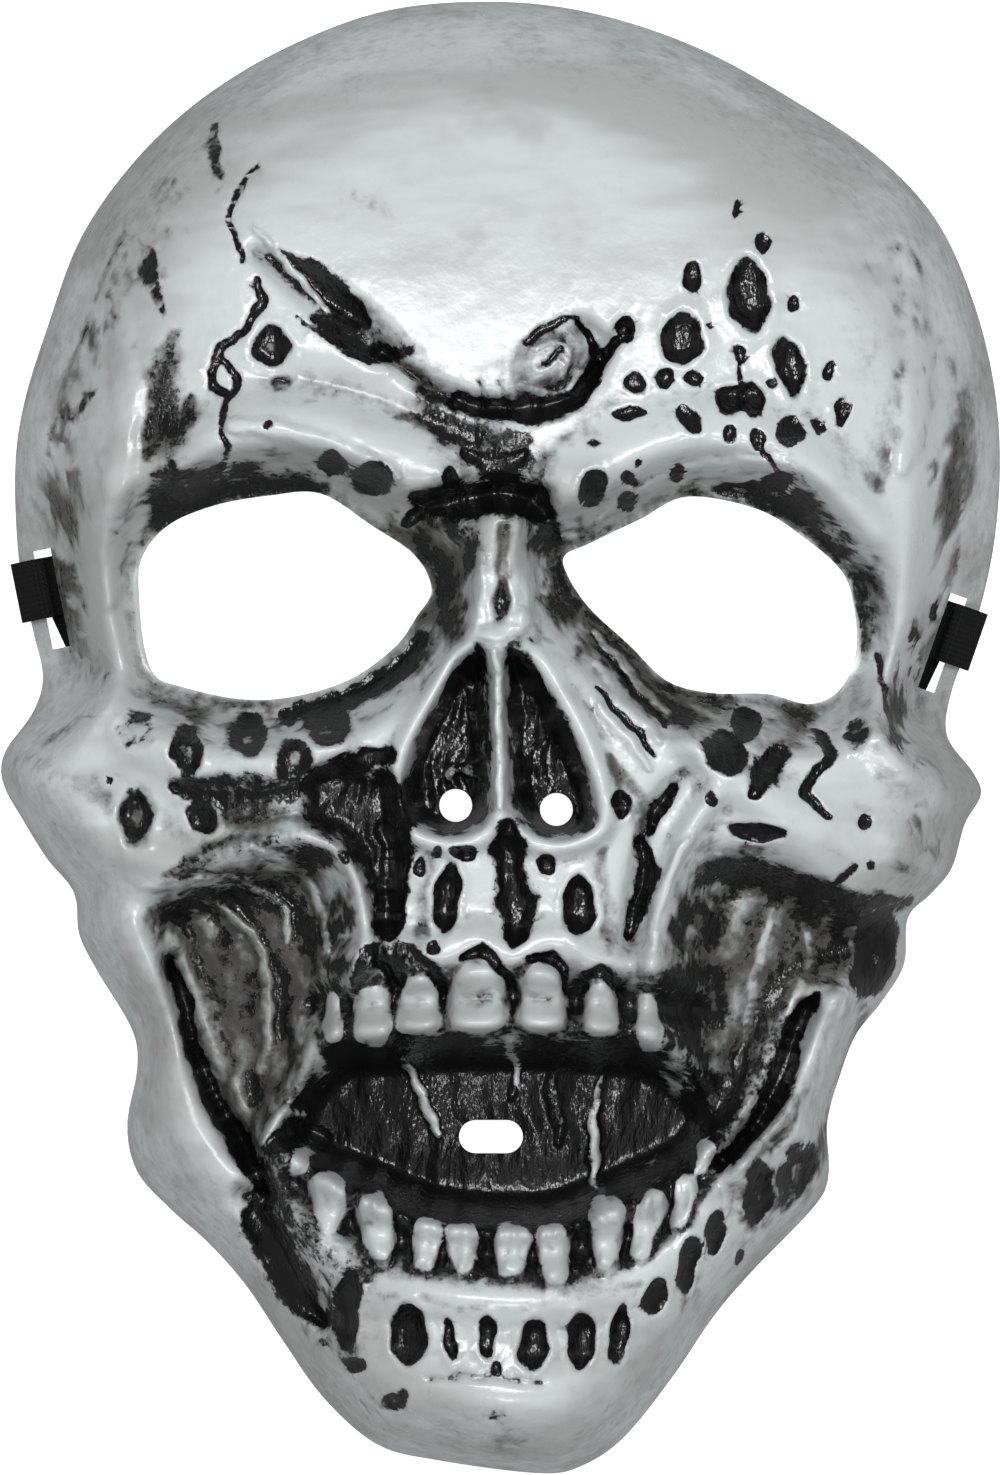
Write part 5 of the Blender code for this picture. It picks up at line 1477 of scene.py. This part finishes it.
# %% [markdown]
# ## Floor, light and camera
#
# The mask lies face up on a pale floor. The camera looks straight down at it through a long lens, as in the
# photograph, so the rim fills the frame. The floor is a light table, so it glows a little and the holes look
# bright. Glossy surfaces don't mirror it, or the slopes of every pit would turn grey. Large soft lights on
# both sides give the broad highlights on the forehead.

# %% Floor
FLOOR_HALF = 30

bm = bmesh.new()
bmesh.ops.create_grid(bm, x_segments=1, y_segments=1, size=FLOOR_HALF)
floor = object_from(bm, "floor")
paper, _, shader = new_material("pale_floor")
set_inputs(shader, {"Base Color": (0.5, 0.5, 0.5, 1), "Roughness": 0.9, "Specular IOR Level": 0.1})
set_inputs(shader, {"Emission Color": (1, 1, 1, 1), "Emission Strength": 0.9})
floor.data.materials.append(paper)
floor.visible_glossy = False

# %% Lights: place, size and power of each, all aimed at the middle of the mask
MIDDLE = Vector((0, 0, 0.03))
SOFTBOXES = {
    "left_softbox": ((-0.36, 0.50, 2.20), (0.45, 0.70), 29),
    "right_softbox": ((0.46, 0.44, 2.20), (0.45, 0.70), 31),
    "chin_softbox": ((0.10, -1.10, 1.70), (0.60, 0.25), 12),
}
for name, (lamp_place, size, power) in SOFTBOXES.items():
    data = bpy.data.lights.new(name, "AREA")
    data.shape = "RECTANGLE"
    data.size, data.size_y = size
    data.energy = power
    lamp = add_object(name, data)
    lamp.location = lamp_place
    lamp.rotation_euler = (MIDDLE - Vector(lamp_place)).to_track_quat("-Z", "Y").to_euler()
world = bpy.data.worlds.new("studio")
world.use_nodes = True
set_inputs(world.node_tree.nodes["Background"], {"Color": (1, 1, 1, 1), "Strength": 0.2})
bpy.context.scene.world = world
bpy.context.scene.view_settings.view_transform = "Standard"

# %% Camera
CAMERA_HIGH = 8.0
FRAME_TALL = MASK_TALL * 1.001
camera_data = bpy.data.cameras.new("camera")
camera_data.sensor_fit = "VERTICAL"
camera_data.sensor_height = 24
camera_data.lens = camera_data.sensor_height * CAMERA_HIGH / FRAME_TALL
camera_data.clip_end = 100
camera = add_object("camera", camera_data)
camera.location = (0, 0, CAMERA_HIGH)
bpy.context.scene.camera = camera
